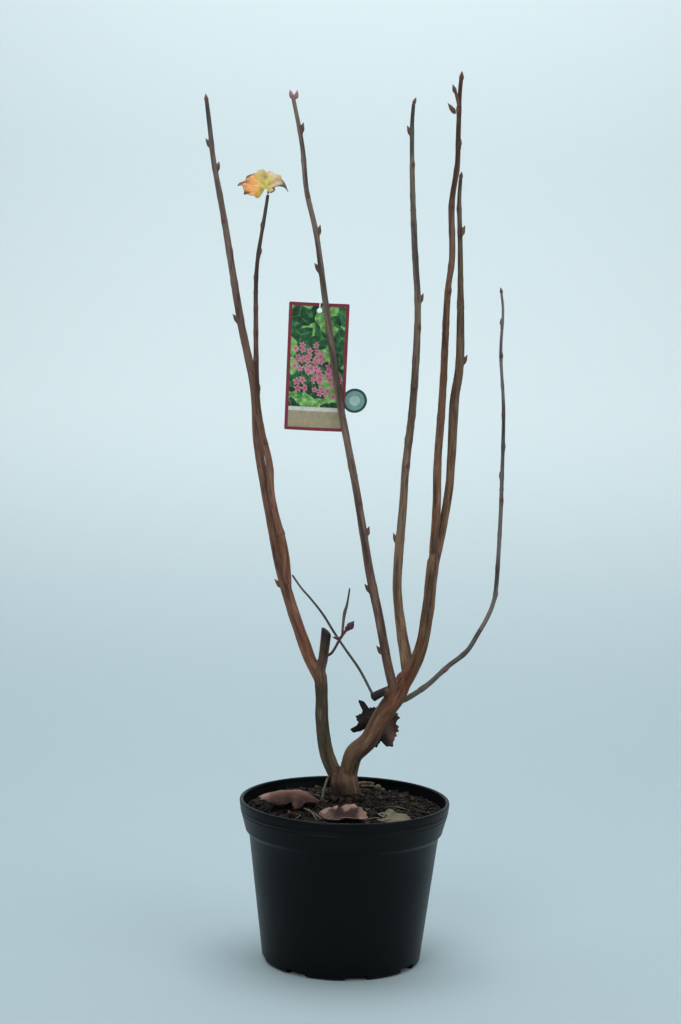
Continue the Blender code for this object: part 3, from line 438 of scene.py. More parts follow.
class CurrantBarkSettings(bpy.types.PropertyGroup):
    ring_step: length_setting("Ring step", 0.0012, "Spacing of a cane's rings")
    fork_voxel: length_setting("Fork grid", 0.00066, "Grid of the grown-together fork wood")
    fillet: length_setting("Fillet", 0.0045, "How far the wood of two limbs runs together")
    ridge: length_setting("Ridges", 0.00052, "Height of the ridges on old bark")
    swelling: length_setting("Node swelling", 0.00060, "How far a cane swells at a bud")
    flare: length_setting("Root flare ridges", 0.0024, "Depth of the ridges at the foot")
    cork: colour_setting("Weathered cork", "#8d7867", "Greyed outer bark that lifts off")
    crack: colour_setting("Cracks", "#1d120d", "Dark lines between the ridges")
    cut_face: colour_setting("Pruning cut", "#2c201a", "Old end grain of the pruned stub")


class CurrantBudSettings(bpy.types.PropertyGroup):
    rings: count_setting("Rings", 14, "Rings along a bud")
    sides: count_setting("Sides", 12, "Points round a bud")
    scales: count_setting("Scales", 5, "Overlapping scales on a bud")
    scale_step: share_setting("Scale step", 0.07, "How far a scale stands off the next")
    body: colour_setting("Bud scales", "#6d4a3d", "Reddish brown dry scales")
    edge: colour_setting("Scale edges", "#33231d", "Dark edges of the scales")
    plump: colour_setting("Swollen buds", "#54303a", "Purple-brown buds on the short twig")
    rosy: colour_setting("Rosy tips", "#a9797a", "Paler, pinkish shoot tips")


class CurrantLeafSettings(bpy.types.PropertyGroup):
    rings: count_setting("Rings", 16, "Rings across a blade")
    spokes: count_setting("Spokes", 108, "Spokes round a blade")
    thickness: length_setting("Thickness", 0.00034, "Thickness of a blade")
    orange: colour_setting("Orange", "#e39b53", "Left part of the last leaf")
    yellow_green: colour_setting("Yellow-green", "#b3a642", "Its middle, still greenish")
    cream: colour_setting("Cream", "#c4a880", "Its bleached right lobe")
    scorch: colour_setting("Scorched tips", "#3a2418", "Dead brown tips and margins")
    # An olive brown spot laid along the fold of the blade
    fold_spot: colour_setting("Bruise", "#66531c", "Olive brown spot where the blade folds")
    rust: colour_setting("Rust", "#66402f", "Dry leaf on the left of the compost")
    pinkish: colour_setting("Pinkish tan", "#543e37", "Curled dry leaf at the front")
    pale: colour_setting("Pale", "#6f6d58", "Bleached leaf at the right, with algae")
    liver: colour_setting("Dark red", "#26100e", "Shaded and decayed parts of the dry leaves")
    # Painted highlights on the ridges and rims of the dry leaves, and their paler bleached
    # patches
    highlight_and_bleach: colour_setting("Papery", "#a28175", "Bleached ridges and rims of the dry leaves")
    withered: colour_setting("Withered", "#241b17", "Leaf caught behind the stem")
    withered_red: colour_setting("Withered red", "#6e4f49", "Its right side, which is redder")


class CurrantTagSettings(bpy.types.PropertyGroup):
    border: length_setting("Border", 0.0032, "Width of the printed border")
    bow: length_setting("Bow", 0.0012, "How far the card bows")
    motif: length_setting("Motif", 0.0098, "Spacing of the printed flowers")
    maroon: colour_setting("Border colour", "#8e3142", "Maroon edge")
    deep_green: colour_setting("Deep green", "#1c4329", "Ground of the print")
    leaf_green: colour_setting("Leaf green", "#3f8a50", "Printed leaves")
    pale_green: colour_setting("Pale green", "#83b968", "Paler leaves and veins")
    pink: colour_setting("Pink", "#ea9db0", "Printed petals")
    rose: colour_setting("Rose", "#b4415f", "Hearts and shaded petals")
    beige: colour_setting("Beige", "#b5a687", "Plain printed panel")
    cream: colour_setting("Cream", "#e6e6da", "Plain printed stripe")
    teal: colour_setting("Tab", "#82aaa2", "Plain round tab")
    tab_ring: colour_setting("Tab ring", "#27504a", "Dark ring round the tab")
    tab_heart: colour_setting("Tab middle", "#b4d0c9", "Its plain paler middle")


class CurrantPotSettings(bpy.types.PropertyGroup):
    segments: count_setting("Segments", 160, "Steps round the turned pot")
    plastic: colour_setting("Plastic", "#06090b", "Black recycled polypropylene")
    dust: colour_setting("Dust", "#3a413f", "Dried splashes and dust")
    dusting: share_setting("Dusting", 0.06, "How much dust lies on the plastic")


class CurrantCompostSettings(bpy.types.PropertyGroup):
    big_crumbs: count_setting("Big crumbs", 620, "Lumps of peat, bark and moss")
    small_crumbs: count_setting("Small crumbs", 2600, "Fine crumbs")
    sticks: count_setting("Sticks", 46, "Thin sticks and fibres")
    peat: colour_setting("Peat", "#120e0c", "Moist peat")
    bark_chip: colour_setting("Bark chips", "#2a1c17", "Composted bark")
    fibre: colour_setting("Fibre", "#4e4033", "Wood fibre and dry crumbs")
    moss: colour_setting("Moss", "#2a2c1b", "Moss and liverwort")
    straw: colour_setting("Straw", "#6a6455", "Pale dead stalks")
    curl: colour_setting("Dry curls", "#6f5b4c", "Tan curled bark behind the stems")
    scrap: colour_setting("Scraps", "#4b322d", "Reddish scraps of leaves")


class CurrantStageSettings(bpy.types.PropertyGroup):
    paper: colour_setting("Backdrop", "#dfecef", "Plain pale sweep behind the plant")
    floor: colour_setting("Floor", "#b4c6cd", "The same sweep under it")
    key_power: power_setting("Key light", 15.0, "Soft light from the front, a little left")
    fill_power: power_setting("Fill light", 9.0, "Weaker soft light from the front right")
    top_power: power_setting("Top light", 31.0, "Soft light on the backdrop")
    ambient: FloatProperty(name="Ambient", description="Even light from behind the plant",
                           default=0.80, min=0.0)
    ambient_front: FloatProperty(name="Front ambient", description="The same from the front",
                                 default=0.16, min=0.0)


def settings(name):
    return getattr(bpy.context.scene, "currant_" + name)


def linked(name, data):
    """A new object in the scene."""
    made = bpy.data.objects.new(name, data)
    bpy.context.scene.collection.objects.link(made)
    return made


def mesh_of(name, work):
    """A mesh from a bmesh, which is freed."""
    mesh = bpy.data.meshes.new(name)
    work.to_mesh(mesh)
    work.free()
    return mesh


def applied_mesh(made):
    """An object's mesh with its modifiers in it; the object is removed."""
    bpy.context.view_layer.update()
    graph = bpy.context.evaluated_depsgraph_get()
    mesh = bpy.data.meshes.new_from_object(made.evaluated_get(graph))
    before = made.data
    bpy.data.objects.remove(made)
    bpy.data.meshes.remove(before)
    return mesh


def polar(radius, angle):
    """Across and along of a point at a radius and an angle."""
    return radius * math.cos(angle), radius * math.sin(angle)


# Node materials
def add(tree, kind, inputs=(), out=0, stops=(), **values):
    """Adds a node with its settings, a ramp's two stops, and its inputs as numbers or links,
    in order or by key; a kind may carry its operation. Returns one of the node's outputs."""
    kind, _, operation = kind.partition(" ")
    made = tree.nodes.new("ShaderNode" + kind)
    if operation:
        made.operation = operation
    for key, value in values.items():
        setattr(made, key, value)
    for key, value in inputs.items() if isinstance(inputs, dict) else enumerate(inputs):
        socket = made.inputs[key]
        if isinstance(value, bpy.types.NodeSocket):
            tree.links.new(value, socket)
        else:
            socket.default_value = (*value, 1.0) if socket.type == "RGBA" else value
    if stops:
        for element, (at, shade) in zip(made.color_ramp.elements, stops):
            element.position = at
            element.color = (shade, shade, shade, 1.0)
    return made.outputs[out] if made.outputs else None


def blank_material(name):
    """A new material, and add with its tree already given."""
    made = bpy.data.materials.new(name)
    made.use_nodes = True
    made.node_tree.nodes.clear()
    return made, partial(add, made.node_tree)


def grown_material(name):
    """The same, with the tint and the grain place that a grown mesh stores at each point."""
    made, node = blank_material(name)
    tint = node("Attribute", attribute_name="tint")
    return made, node, tint, node("Attribute", out=1, attribute_name="grain")


def pattern(node, kind, where, across, along, inputs=None, **values):
    """A texture on a grain or place vector, in cells of these sizes in metres."""
    cells = node("VectorMath MULTIPLY", (where, (1.0 / across, 1.0 / across, 1.0 / along)))
    return node(kind, {"Vector": cells, "Scale": 1.0, **(inputs or {})}, **values)


def layered(node, colour, *layers):
    """A colour with others laid over it in turn, each by its share."""
    for share, shown in layers:
        colour = node("Mix", {0: share, 6: colour, 7: shown}, 2, data_type="RGBA")
    return colour


def shaded(node, colour, *shades):
    """A colour made lighter or darker by each of the shades."""
    for shade in shades:
        colour = node("VectorMath MULTIPLY", (colour, shade))
    return colour


def surface(node, colour, roughness, height=None, bump=0.0, relief=0.0, **constants):
    """The Principled surface that each material ends in."""
    inputs = {"Base Color": colour, "Roughness": roughness}
    inputs.update({key.replace("_", " "): value for key, value in constants.items()})
    if height is not None:
        inputs["Normal"] = node("Bump", {"Strength": bump, "Distance": relief,
                                         "Height": height})
    node("OutputMaterial", {"Surface": node("BsdfPrincipled", inputs)})


def bark_material():
    """Shrub bark, grown and weathered: thin reddish cork with lengthwise streaks, which greys
    and lifts in narrow strips, so it looks matt with faint satin on the young canes."""
    look = settings("bark")
    made, node, tint, grain = grown_material("weathered_currant_bark")
    streak = pattern(node, "TexNoise", grain, 0.0013, 0.020, {"Detail": 4.0, "Roughness": 0.6})
    strip = pattern(node, "TexNoise", grain, 0.0042, 0.034, {"Detail": 3.0, "Roughness": 0.55})
    pores = pattern(node, "TexVoronoi", grain, 0.0026, 0.0065)
    cracked = node("ValToRGB", (streak,), stops=((0.34, 0.74), (0.50, 0.0)))
    lifted = node("ValToRGB", (strip,), stops=((0.54, 0.0), (0.70, 0.90)))
    pore = node("ValToRGB", (pores,), stops=((0.10, 0.70), (0.20, 0.0)))
    paler = shaded(node, tint, (1.9, 1.9, 1.9))
    greyed = layered(node, tint, (0.45, look.cork), (0.5, paler))
    flake = node("Mix", {0: 1.0, 6: greyed, 7: paler}, 2, data_type="RGBA",
                 blend_type="DARKEN")
    colour = layered(node, tint, (lifted, flake), (pore, flake), (cracked, look.crack))
    rough = node("MapRange", (streak, 0.0, 1.0, 0.84, 0.58))
    surface(node, colour, rough, streak, 0.55, 0.0006, IOR=1.45)
    return made


def bud_material():
    """Winter bud scales: dry, paper-like and closely lapped, matt with a slight waxy sheen."""
    made, node, tint, grain = grown_material("bud_scales")
    fibre = pattern(node, "TexNoise", grain, 0.0006, 0.0040, {"Detail": 3.0})
    shade = node("MapRange", (fibre, 0.0, 1.0, 0.72, 1.25))
    surface(node, shaded(node, tint, shade), 0.62, fibre, 0.4, 0.0003, IOR=1.45)
    return made


def cut_wood_material():
    """End grain of a pruned currant stem, snipped and long since weathered dark."""
    made, node, _, grain = grown_material("weathered_end_grain")
    rings = pattern(node, "TexNoise", grain, 0.0011, 0.0011, {"Detail": 4.0})
    shade = node("MapRange", (rings, 0.0, 1.0, 0.5, 1.5))
    surface(node, shaded(node, settings("bark").cut_face, shade), 0.9, rings, 0.6, 0.0006,
            IOR=1.4)
    return made


def leaf_material(name, vein_depth, roughness):
    """A thin leaf blade, dried on the twig or on the ground: paper-like, with a net of fine veins
    that shade it, and a soft dull surface."""
    made, node, tint, grain = grown_material(name)
    net = pattern(node, "TexVoronoi", grain, 0.0022, 0.0022, feature="DISTANCE_TO_EDGE")
    blotch = pattern(node, "TexNoise", grain, 0.0048, 0.0048,
                     {"Detail": 4.0, "Roughness": 0.65})
    veins = node("MapRange", (net, 0.0, 0.16, 1.0 - vein_depth, 1.0))
    mottle = node("MapRange", (blotch, 0.3, 0.7, 0.80, 1.16))
    surface(node, shaded(node, tint, veins, mottle), roughness, blotch, 0.5, 0.0008, IOR=1.42)
    return made


def plastic_material():
    """Black recycled polypropylene, injection moulded: an even satin skin with faint flow
    marks, dulled by a few dried splashes, most of them low down."""
    look = settings("pot")
    made, node = blank_material("moulded_black_polypropylene")
    place = node("TexCoord", out=3)
    flow = pattern(node, "TexNoise", place, 0.030, 0.004, {"Detail": 3.0})
    speck = pattern(node, "TexNoise", place, 0.0030, 0.0042, {"Detail": 6.0, "Roughness": 0.7})
    height = node("SeparateXYZ", (place,), 2)
    low = node("MapRange", (height, 0.0, 0.060, look.dusting, 0.22 * look.dusting))
    spots = node("ValToRGB", (speck,), stops=((0.50, 0.0), (0.70, 1.0)))
    film = node("Math MULTIPLY", (spots, low))
    rough = node("Math ADD", (node("MapRange", (flow, 0.0, 1.0, 0.32, 0.44)), film))
    surface(node, layered(node, look.plastic, (film, look.dust)), rough, speck, 0.10, 0.0003,
            IOR=1.49, Specular_IOR_Level=0.13)
    return made


def compost_material(name, colour, gleam):
    """Peat compost, sieved and watered: crumbly and almost black where moist, with dull tan
    fibres, in drifts of slightly different tone."""
    made, node = blank_material(name)
    place = node("TexCoord", out=3)
    crumb = pattern(node, "TexNoise", place, 0.0016, 0.0016, {"Detail": 6.0, "Roughness": 0.7})
    patch = pattern(node, "TexNoise", place, 0.011, 0.011, {"Detail": 2.0})
    shade = node("MapRange", (crumb, 0.25, 0.75, 0.35, 1.7))
    drift = node("MapRange", (patch, 0.3, 0.7, 0.75, 1.3))
    surface(node, shaded(node, colour, shade, drift), 1.0 - gleam, crumb, 0.8, 0.0012, IOR=1.4)
    return made


def motif(node, card, pitch, seed, petals, bloom):
    """Petalled shapes in a loose grid on the card: their mask, the distance from each one's
    heart, its own random shade, its heart's place and a mask of its veins."""
    cells = node("VectorMath MULTIPLY_ADD", (card, (1.0 / pitch,) * 3, (seed, seed, 0.0)))
    heart = node("TexVoronoi", {"Vector": cells, "Scale": 1.0, "Randomness": 0.85}, 2,
                 voronoi_dimensions="2D")
    dice = node("SeparateXYZ", (heart.node.outputs[1],))
    offset = node("VectorMath SUBTRACT", (cells, heart))
    x, y = (node("SeparateXYZ", (offset,), axis) for axis in (0, 1))
    turn = node("Math MULTIPLY_ADD", (dice, 6.0, node("Math ARCTAN2", (y, x))))
    wave = node("Math COSINE", (node("Math MULTIPLY", (turn, float(petals))),))
    edge = node("Math MULTIPLY_ADD", (wave, 0.24 * bloom, 0.76 * bloom))
    radius = node("VectorMath LENGTH", (offset,), 1)
    vein = node("Math SINE", (node("Math MULTIPLY", (turn, 0.5 * petals)),))
    vein = node("Math MULTIPLY", (node("Math ABSOLUTE", (vein,)), radius))
    back = (-pitch * seed, -pitch * seed, 0.0)
    return (node("Math LESS_THAN", (radius, edge)), radius, dice,
            node("VectorMath MULTIPLY_ADD", (heart, (pitch,) * 3, back)),
            node("Math LESS_THAN", (vein, 0.035)))


def print_material():
    """Offset print on a glossy coated card: foliage in mixed greens with loose clusters of
    small pink flowers, a plain beige panel under a cream stripe, a maroon border and a plain
    teal tab."""
    look = settings("tag")
    made, node = blank_material("printed_coated_card")
    card = node("Attribute", out=1, attribute_name="card")
    across, up = (node("SeparateXYZ", (card,), axis) for axis in (0, 1))
    tone = pattern(node, "TexNoise", card, 0.005, 0.005, {"Detail": 4.0})
    colour = look.deep_green
    for pitch, seed in ((1.3, 3.4), (1.9, 9.1)):
        leaves, _, dice, _, vein = motif(node, card, pitch * look.motif, seed, 3, 0.70)
        green = layered(node, look.deep_green, (dice, look.leaf_green),
                        (node("Math GREATER_THAN", (dice, 0.62)), look.pale_green),
                        (node("Math MULTIPLY", (vein, 0.3)), look.pale_green))
        colour = layered(node, colour, (leaves, green))
    colour = shaded(node, colour, node("MapRange", (tone, 0.3, 0.7, 0.45, 1.7)))
    for pitch, seed, clusters in FLOWERS:
        shown, radius, dice, place, _ = motif(node, card, pitch * look.motif, seed, 5, 0.58)
        pink = layered(node, look.rose, (node("Math MULTIPLY", (radius, 3.4)), look.pink),
                       (node("Math MULTIPLY", (dice, 0.40)), look.rose))
        near = [node("Math LESS_THAN", (node("VectorMath DISTANCE", (place, (x, y, 0.0)), 1),
                                        reach)) for x, y, reach in clusters]
        shown = node("Math MULTIPLY", (shown, node("Math MAXIMUM", near)))
        colour = layered(node, colour, (shown, pink))
    insets = [node("Math SUBTRACT", (0.5 * size, node("Math ABSOLUTE", (from_middle,))))
              for size, from_middle in ((TAG_WIDTH, across), (TAG_HEIGHT, up))]
    tab = node("VectorMath DISTANCE", (card, (0.5 * TAG_WIDTH + TAB_REACH, -TAB_DROP, 0.0)), 1)
    colour = layered(
        node, colour,
        (node("Math LESS_THAN", (up, STRIPE_TOP)), look.cream),
        (node("Math LESS_THAN", (up, PANEL_TOP)), look.beige),
        (node("Math LESS_THAN", (node("Math MINIMUM", insets), look.border)), look.maroon),
        (node("Math GREATER_THAN", (across, 0.5 * TAG_WIDTH)), look.tab_ring),
        (node("Math LESS_THAN", (tab, TAB_DISC * TAB_RADIUS)), look.teal),
        (node("Math LESS_THAN", (tab, TAB_HEART * TAB_RADIUS)), look.tab_heart))
    wear = node("MapRange", (tone, 0.3, 0.7, 0.86, 1.10))
    surface(node, shaded(node, colour, wear), 0.32, tone, 0.02, 0.0002, IOR=1.5)
    return made


def paper_material():
    """A painted paper sweep: even, pale and matt, and a little greyer on the floor."""
    look = settings("stage")
    made, node = blank_material("matt_paper_sweep")
    place = node("TexCoord", out=3)
    tooth = pattern(node, "TexNoise", place, 0.004, 0.004, {"Detail": 2.0})
    shade = node("MapRange", (tooth, 0.0, 1.0, 0.99, 1.01))
    rise = node("MapRange", (node("SeparateXYZ", (place,), 2), 0.0, 0.50),
                interpolation_type="SMOOTHSTEP")
    colour = layered(node, look.floor, (rise, look.paper))
    surface(node, shaded(node, colour, shade), 0.9, IOR=1.45)
    return made


# Limbs
def place(station):
    """A (up, across, depth) station as a point."""
    up, across, depth = station
    return Vector((across, depth, up))


def spline_point(p0, p1, p2, p3, t):
    """Catmull-Rom point between p1 and p2."""
    return 0.5 * (2 * p1 + (p2 - p0) * t + (2 * p0 - 5 * p1 + 4 * p2 - p3) * t ** 2
                  + (3 * p1 - p0 - 3 * p2 + p3) * t ** 3)


def centre_line(route, step):
    """Points about a step apart on a smooth curve through the stations."""
    knots = [place(station) for station in route]
    knots = [2 * knots[0] - knots[1]] + knots + [2 * knots[-1] - knots[-2]]
    points = []
    for i in range(1, len(knots) - 2):
        count = max(1, round((knots[i + 1] - knots[i]).length / step))
        for k in range(count):
            points.append(spline_point(*knots[i - 1:i + 3], k / count))
    points.append(knots[-2])
    return points


def distances(points):
    """How far along the line each point lies."""
    run = [0.0]
    for a, b in zip(points, points[1:]):
        run.append(run[-1] + (b - a).length)
    return run


def radius_at(share, girth):
    """Radius at a share of the length, from diameters at even steps."""
    where = min(max(share, 0.0), 1.0) * (len(girth) - 1)
    low = min(int(where), len(girth) - 2)
    return 0.5 * (girth[low] + (girth[low + 1] - girth[low]) * (where - low))


# One ring of a limb: where it is, its radius, how far along, the limb's direction, two side
# vectors across it, and the limb's bark colour there
Ring = namedtuple("Ring", "point radius run along side_a side_b bark")


def rings_of(limbs, step):
    """The rings of one limb, or of limbs that continue each other, carried without twist."""
    points, radii, barks = [], [], []
    for limb in limbs:
        line = centre_line(limb.route, step)
        run = distances(line)
        skip = 2 if points else 0
        for point, along in list(zip(line, run))[skip:]:
            share = along / run[-1]
            points.append(point)
            radii.append(radius_at(share, limb.girth))
            barks.append(blend(linear(limb.foot_bark), linear(limb.tip_bark), share))
    run = distances(points)
    rings = []
    side = None
    for i, point in enumerate(points):
        ahead = points[min(i + 1, len(points) - 1)]
        behind = points[max(i - 1, 0)]
        along = (ahead - behind).normalized()
        side = side or along.orthogonal()
        side = (side - along * side.dot(along)).normalized()
        rings.append(Ring(point, radii[i], run[i], along, side, along.cross(side), barks[i]))
    return rings


def limb_named(name):
    return next(limb for limb in LIMBS if limb.name == name)


def grain_shift(name):
    """Each limb's bark starts at its own place in the pattern."""
    return float([limb.name for limb in LIMBS].index(name))


BudSpot = namedtuple("BudSpot", "centre direction length width out foot")


def at_height(points, up):
    """Index of the centre line's point that is nearest to a height."""
    return min(range(len(points)), key=lambda i: abs(points[i].z - up))


def side_bud(points, radii, index, bearing, size=1.0):
    """Where a bud sits on the side of a cane, splayed out from its direction."""
    along = (points[min(index + 1, len(points) - 1)] - points[max(index - 1, 0)]).normalized()
    out = Vector((math.cos(math.radians(bearing)), math.sin(math.radians(bearing)), 0.0))
    out = (out - along * out.dot(along)).normalized()
    splay = math.radians(BUD_SPLAY)
    direction = along * math.cos(splay) + out * math.sin(splay)
    centre = points[index] + out * (radii[index] + 0.15 * size * BUD_WIDTH)
    return BudSpot(centre, direction, size * BUD_LENGTH, size * BUD_WIDTH, out, points[index])


def off_outline(bearing):
    """A bearing turned towards the front or the back, where no outline shows a bud."""
    aside = math.remainder(bearing - 90.0, 180.0)
    return bearing - aside * (1.0 - BUD_SECTOR)


def bud_spots():
    """Every side bud by limb: the ones that stand out, and spiralled ones between them."""
    dice = random.Random(SEED)
    spots = {}
    for limb in LIMBS:
        if not limb.young:
            continue
        points = centre_line(limb.route, BUD_LINE_STEP)
        run = distances(points)
        radii = [radius_at(along / run[-1], limb.girth) for along in run]
        found = [side_bud(points, radii, at_height(points, up), bearing, BUD_SHOWN)
                 for up, bearing in limb.buds]
        taken = [up for up, _ in limb.buds]
        bearing = dice.uniform(0.0, 360.0)
        left = NODE_SPACING
        while left < run[-1] - NODE_SPACING:
            index = min(range(len(run)), key=lambda i: abs(run[-1] - left - run[i]))
            free = all(abs(points[index].z - up) > BUD_CLEAR for up in taken)
            behind_tag = abs(points[index].z - TAG_CENTRE[1]) < 0.5 * TAG_HEIGHT + BUD_CLEAR
            free = free and not (limb.name == "cane_c" and behind_tag)
            if free and 2 * radii[index] < YOUNG_WOOD:
                found.append(side_bud(points, radii, index, off_outline(bearing)))
            bearing += NODE_TURN
            left += NODE_SPACING * dice.uniform(0.85, 1.2)
        spots[limb.name] = found
    return spots


class Skin:
    """Grown surfaces gathered for one mesh, each point with its grain place and its tint."""

    def __init__(self):
        self.places = []
        self.faces = []
        self.grain = []
        self.tint = []
        self.slots = []

    def add(self, places, faces, grain, tint=None, slot=0):
        first = len(self.places)
        self.places.extend(places)
        self.faces.extend([tuple(first + i for i in face) for face in faces])
        self.grain.extend(grain)
        self.tint.extend(tint or [(1.0, 1.0, 1.0)] * len(places))
        self.slots.extend([slot] * len(faces))

    def mesh(self, name):
        made = bpy.data.meshes.new(name)
        made.from_pydata([tuple(p) for p in self.places], [], self.faces)
        made.polygons.foreach_set("material_index", self.slots)
        put_attributes(made, self.grain, self.tint)
        made.shade_smooth()
        made.update()
        return made


def put_attributes(mesh, grain, tint):
    """Stores each point's grain place and tint on a mesh."""
    held = mesh.attributes.new("grain", "FLOAT_VECTOR", "POINT")
    held.data.foreach_set("vector", np.array([tuple(g) for g in grain], np.float32).ravel())
    held = mesh.color_attributes.new("tint", "FLOAT_COLOR", "POINT")
    held.data.foreach_set("color", np.array([(*t, 1.0) for t in tint], np.float32).ravel())


def finish_piece(name, mesh, materials, nodes=()):
    """Makes a mesh a piece of the plant, in the place of the CAD nodes it stands for."""
    made = linked(name, mesh)
    for material in materials:
        mesh.materials.append(material)
    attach(made, "root")
    if nodes:
        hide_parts(*nodes)
    return made


def tube_faces(rings, sides):
    """Quads between rings of points, and a face on each end."""
    faces = [(r * sides + k, r * sides + (k + 1) % sides, (r + 1) * sides + (k + 1) % sides,
              (r + 1) * sides + k) for r in range(rings - 1) for k in range(sides)]
    faces.append(tuple(reversed(range(sides))))
    faces.append(tuple((rings - 1) * sides + k for k in range(sides)))
    return faces


def round_ring(side_a, side_b, sides):
    """Directions evenly round a ring, each with its cosine and its sine."""
    for k in range(sides):
        x, y = polar(1.0, TAU * k / sides)
        yield side_a * x + side_b * y, x, y


def bark_noise(grain, across, along, shift=0.0):
    """Noise on a grain place, with so many cells for each metre across and along."""
    return noise.noise(Vector((grain.x * across + shift, grain.y * across, grain.z * along)))


def bark_relief(grain, radius, ridge):
    """How far the bark stands off a smooth limb: slow swells, ridges and fine strips."""
    age = smooth(*OLD_BARK, radius)
    slow = bark_noise(grain, 90, 42)
    ridges = bark_noise(grain, 460, 46)
    strips = bark_noise(grain, 1300, 110)
    return 0.055 * radius * slow + ridge * (0.25 + 0.9 * age) * (ridges + 0.35 * strips)


def bark_tint(bark, grain, cork, crack):
    """The limb's bark colour with slow drifts towards grey cork and dark, moist bark."""
    drift = bark_noise(grain, 190, 19)
    patch = bark_noise(grain, 420, 60, 5)
    lifts = smooth(0.010, 0.060, bark[0])       # dark bark has no pale cork
    tint = blend(bark, cork, 0.34 * lifts * smooth(0.10, 0.55, drift))
    tint = blend(tint, crack, 0.60 * smooth(0.06, 0.46, -drift))
    return blend(tint, cork, 0.22 * lifts * smooth(0.20, 0.55, patch))


def swelling(ring, out, spots, height):
    """The cane's swelling at its buds, with the leaf scar's ledge under each."""
    total = 0.0
    for spot in spots:
        offset = (ring.point - spot.foot).dot(ring.along)
        facing = max(out.dot(spot.out), 0.0)
        swell = math.exp(-((offset + 0.0010) / SWELL_WIDTH) ** 2) * (0.35 + 0.65 * facing)
        ledge = math.exp(-((offset + LEDGE_DROP) / LEDGE_WIDTH) ** 2) * facing ** 3
        total += height * (swell + 0.8 * ledge)
    return total


def grow_limb(skin, rings, sides, spots, shift, taper_tip=True):
    """A limb's skin with its bark relief, its nodes and a rounded tip."""
    look = settings("bark")
    places, grains, tints = [], [], []
    cork, crack = tuple(look.cork), tuple(look.crack)
    collars = [rings[0].run + COLLAR_SPACING * k + 0.03 * math.sin(9.0 * k + shift)
               for k in range(1, 4)]
    for ring in rings:
        near = [spot for spot in spots if (spot.foot - ring.point).length < SWELL_REACH]
        collar = sum(math.exp(-((ring.run - at) / COLLAR_WIDTH) ** 2) for at in collars)
        from_tip = rings[-1].run - ring.run
        round_off = 1.0
        if taper_tip and from_tip < ring.radius:
            round_off = math.sqrt(max(1.0 - (1.0 - from_tip / ring.radius) ** 2, 0.04))
        for out, x, y in round_ring(ring.side_a, ring.side_b, sides):
            grain = Vector((ring.radius * x, ring.radius * y, ring.run + shift))
            height = bark_relief(grain, ring.radius, look.ridge)
            height += swelling(ring, out, near, look.swelling)
            height += COLLAR_HEIGHT * collar
            places.append(ring.point + out * (ring.radius + height) * round_off)
            grains.append(grain)
            tints.append(bark_tint(ring.bark, grain, cork, crack))
    skin.add(places, tube_faces(len(rings), sides), grains, tints)


def grow_shoots(skin, names, foot_bark, tip_bark, shift):
    """The short side shoots of the named limbs."""
    for owner, route, girth in SHOOTS:
        if owner in names:
            shoot = Limb("shoot", route, girth, foot_bark, tip_bark)
            grow_limb(skin, rings_of([shoot], TWIG_STEP), TWIG_SIDES, (), shift)


def after(rings, start):
    """The rings from a distance along the limb onwards."""
    return [ring for ring in rings if ring.run >= start]


# The fork wood
def rooted(rings, parent):
    """The rings with a narrowing foot in front that runs back into the parent limb."""
    foot = rings[0]
    inside = min(parent, key=lambda ring: (ring.point - foot.point).length)
    back = min(parent, key=lambda ring: abs(ring.run - inside.run + FORK_ROOT))
    reach = (foot.point - back.point).length
    root = []
    for k in range(ROOT_STEPS):
        t = k / ROOT_STEPS
        late = 1.0 - t
        point = (back.point * (1.0 + 2.0 * t) * late ** 2 + foot.point * t * t * (3.0 - 2.0 * t)
                 + back.along * reach * t * late ** 2 - foot.along * reach * t * t * late)
        radius = foot.radius * (ROOT_TAPER + (1.0 - ROOT_TAPER) * t)
        root.append(foot._replace(point=point, radius=radius))
    return root + rings


def fork_tube(work, rings, goes_on, blunt):
    """A plain closed tube of a limb's part in the fork wood; its end is drawn in a little
    where a cane's own skin goes on from it, and rounded off where nothing does."""
    start = len(work.verts)
    for ring in rings:
        left = max(rings[-1].run - ring.run, 0.0)
        radius = ring.radius
        if goes_on:
            radius *= 1.0 - FORK_PINCH * smooth(FORK_PEG, 0.0, left)
        elif left < blunt * radius:
            radius *= math.sqrt(max(1.0 - (1.0 - left / (blunt * radius)) ** 2, 0.06))
        for out, _, _ in round_ring(ring.side_a, ring.side_b, FORK_SIDES):
            work.verts.new(ring.point + out * radius)
    work.verts.ensure_lookup_table()
    for face in tube_faces(len(rings), FORK_SIDES):
        work.faces.new([work.verts[start + i] for i in face])


def remeshed(work, voxel):
    """One closed skin round overlapping tubes."""
    holder = linked("fork_tubes", mesh_of("fork_tubes", work))
    tool = holder.modifiers.new("skin", "REMESH")
    tool.mode = "VOXEL"
    tool.voxel_size = voxel
    return applied_mesh(holder)


def points_of(mesh):
    held = np.zeros(len(mesh.vertices) * 3, np.float32)
    mesh.vertices.foreach_get("co", held)
    return held.reshape(-1, 3).astype(float)


def nearest_rings(places, rings):
    """For each place its nearest ring and how far it lies outside the limb there."""
    middles = np.array([tuple(ring.point) for ring in rings])
    radii = np.array([ring.radius for ring in rings])
    index = np.zeros(len(places), int)
    gap = np.zeros(len(places))
    for first in range(0, len(places), 20000):
        part = places[first:first + 20000]
        apart = np.linalg.norm(part[:, None, :] - middles[None], axis=2) - radii[None]
        index[first:first + 20000] = apart.argmin(axis=1)
        gap[first:first + 20000] = apart.min(axis=1)
    return index, gap


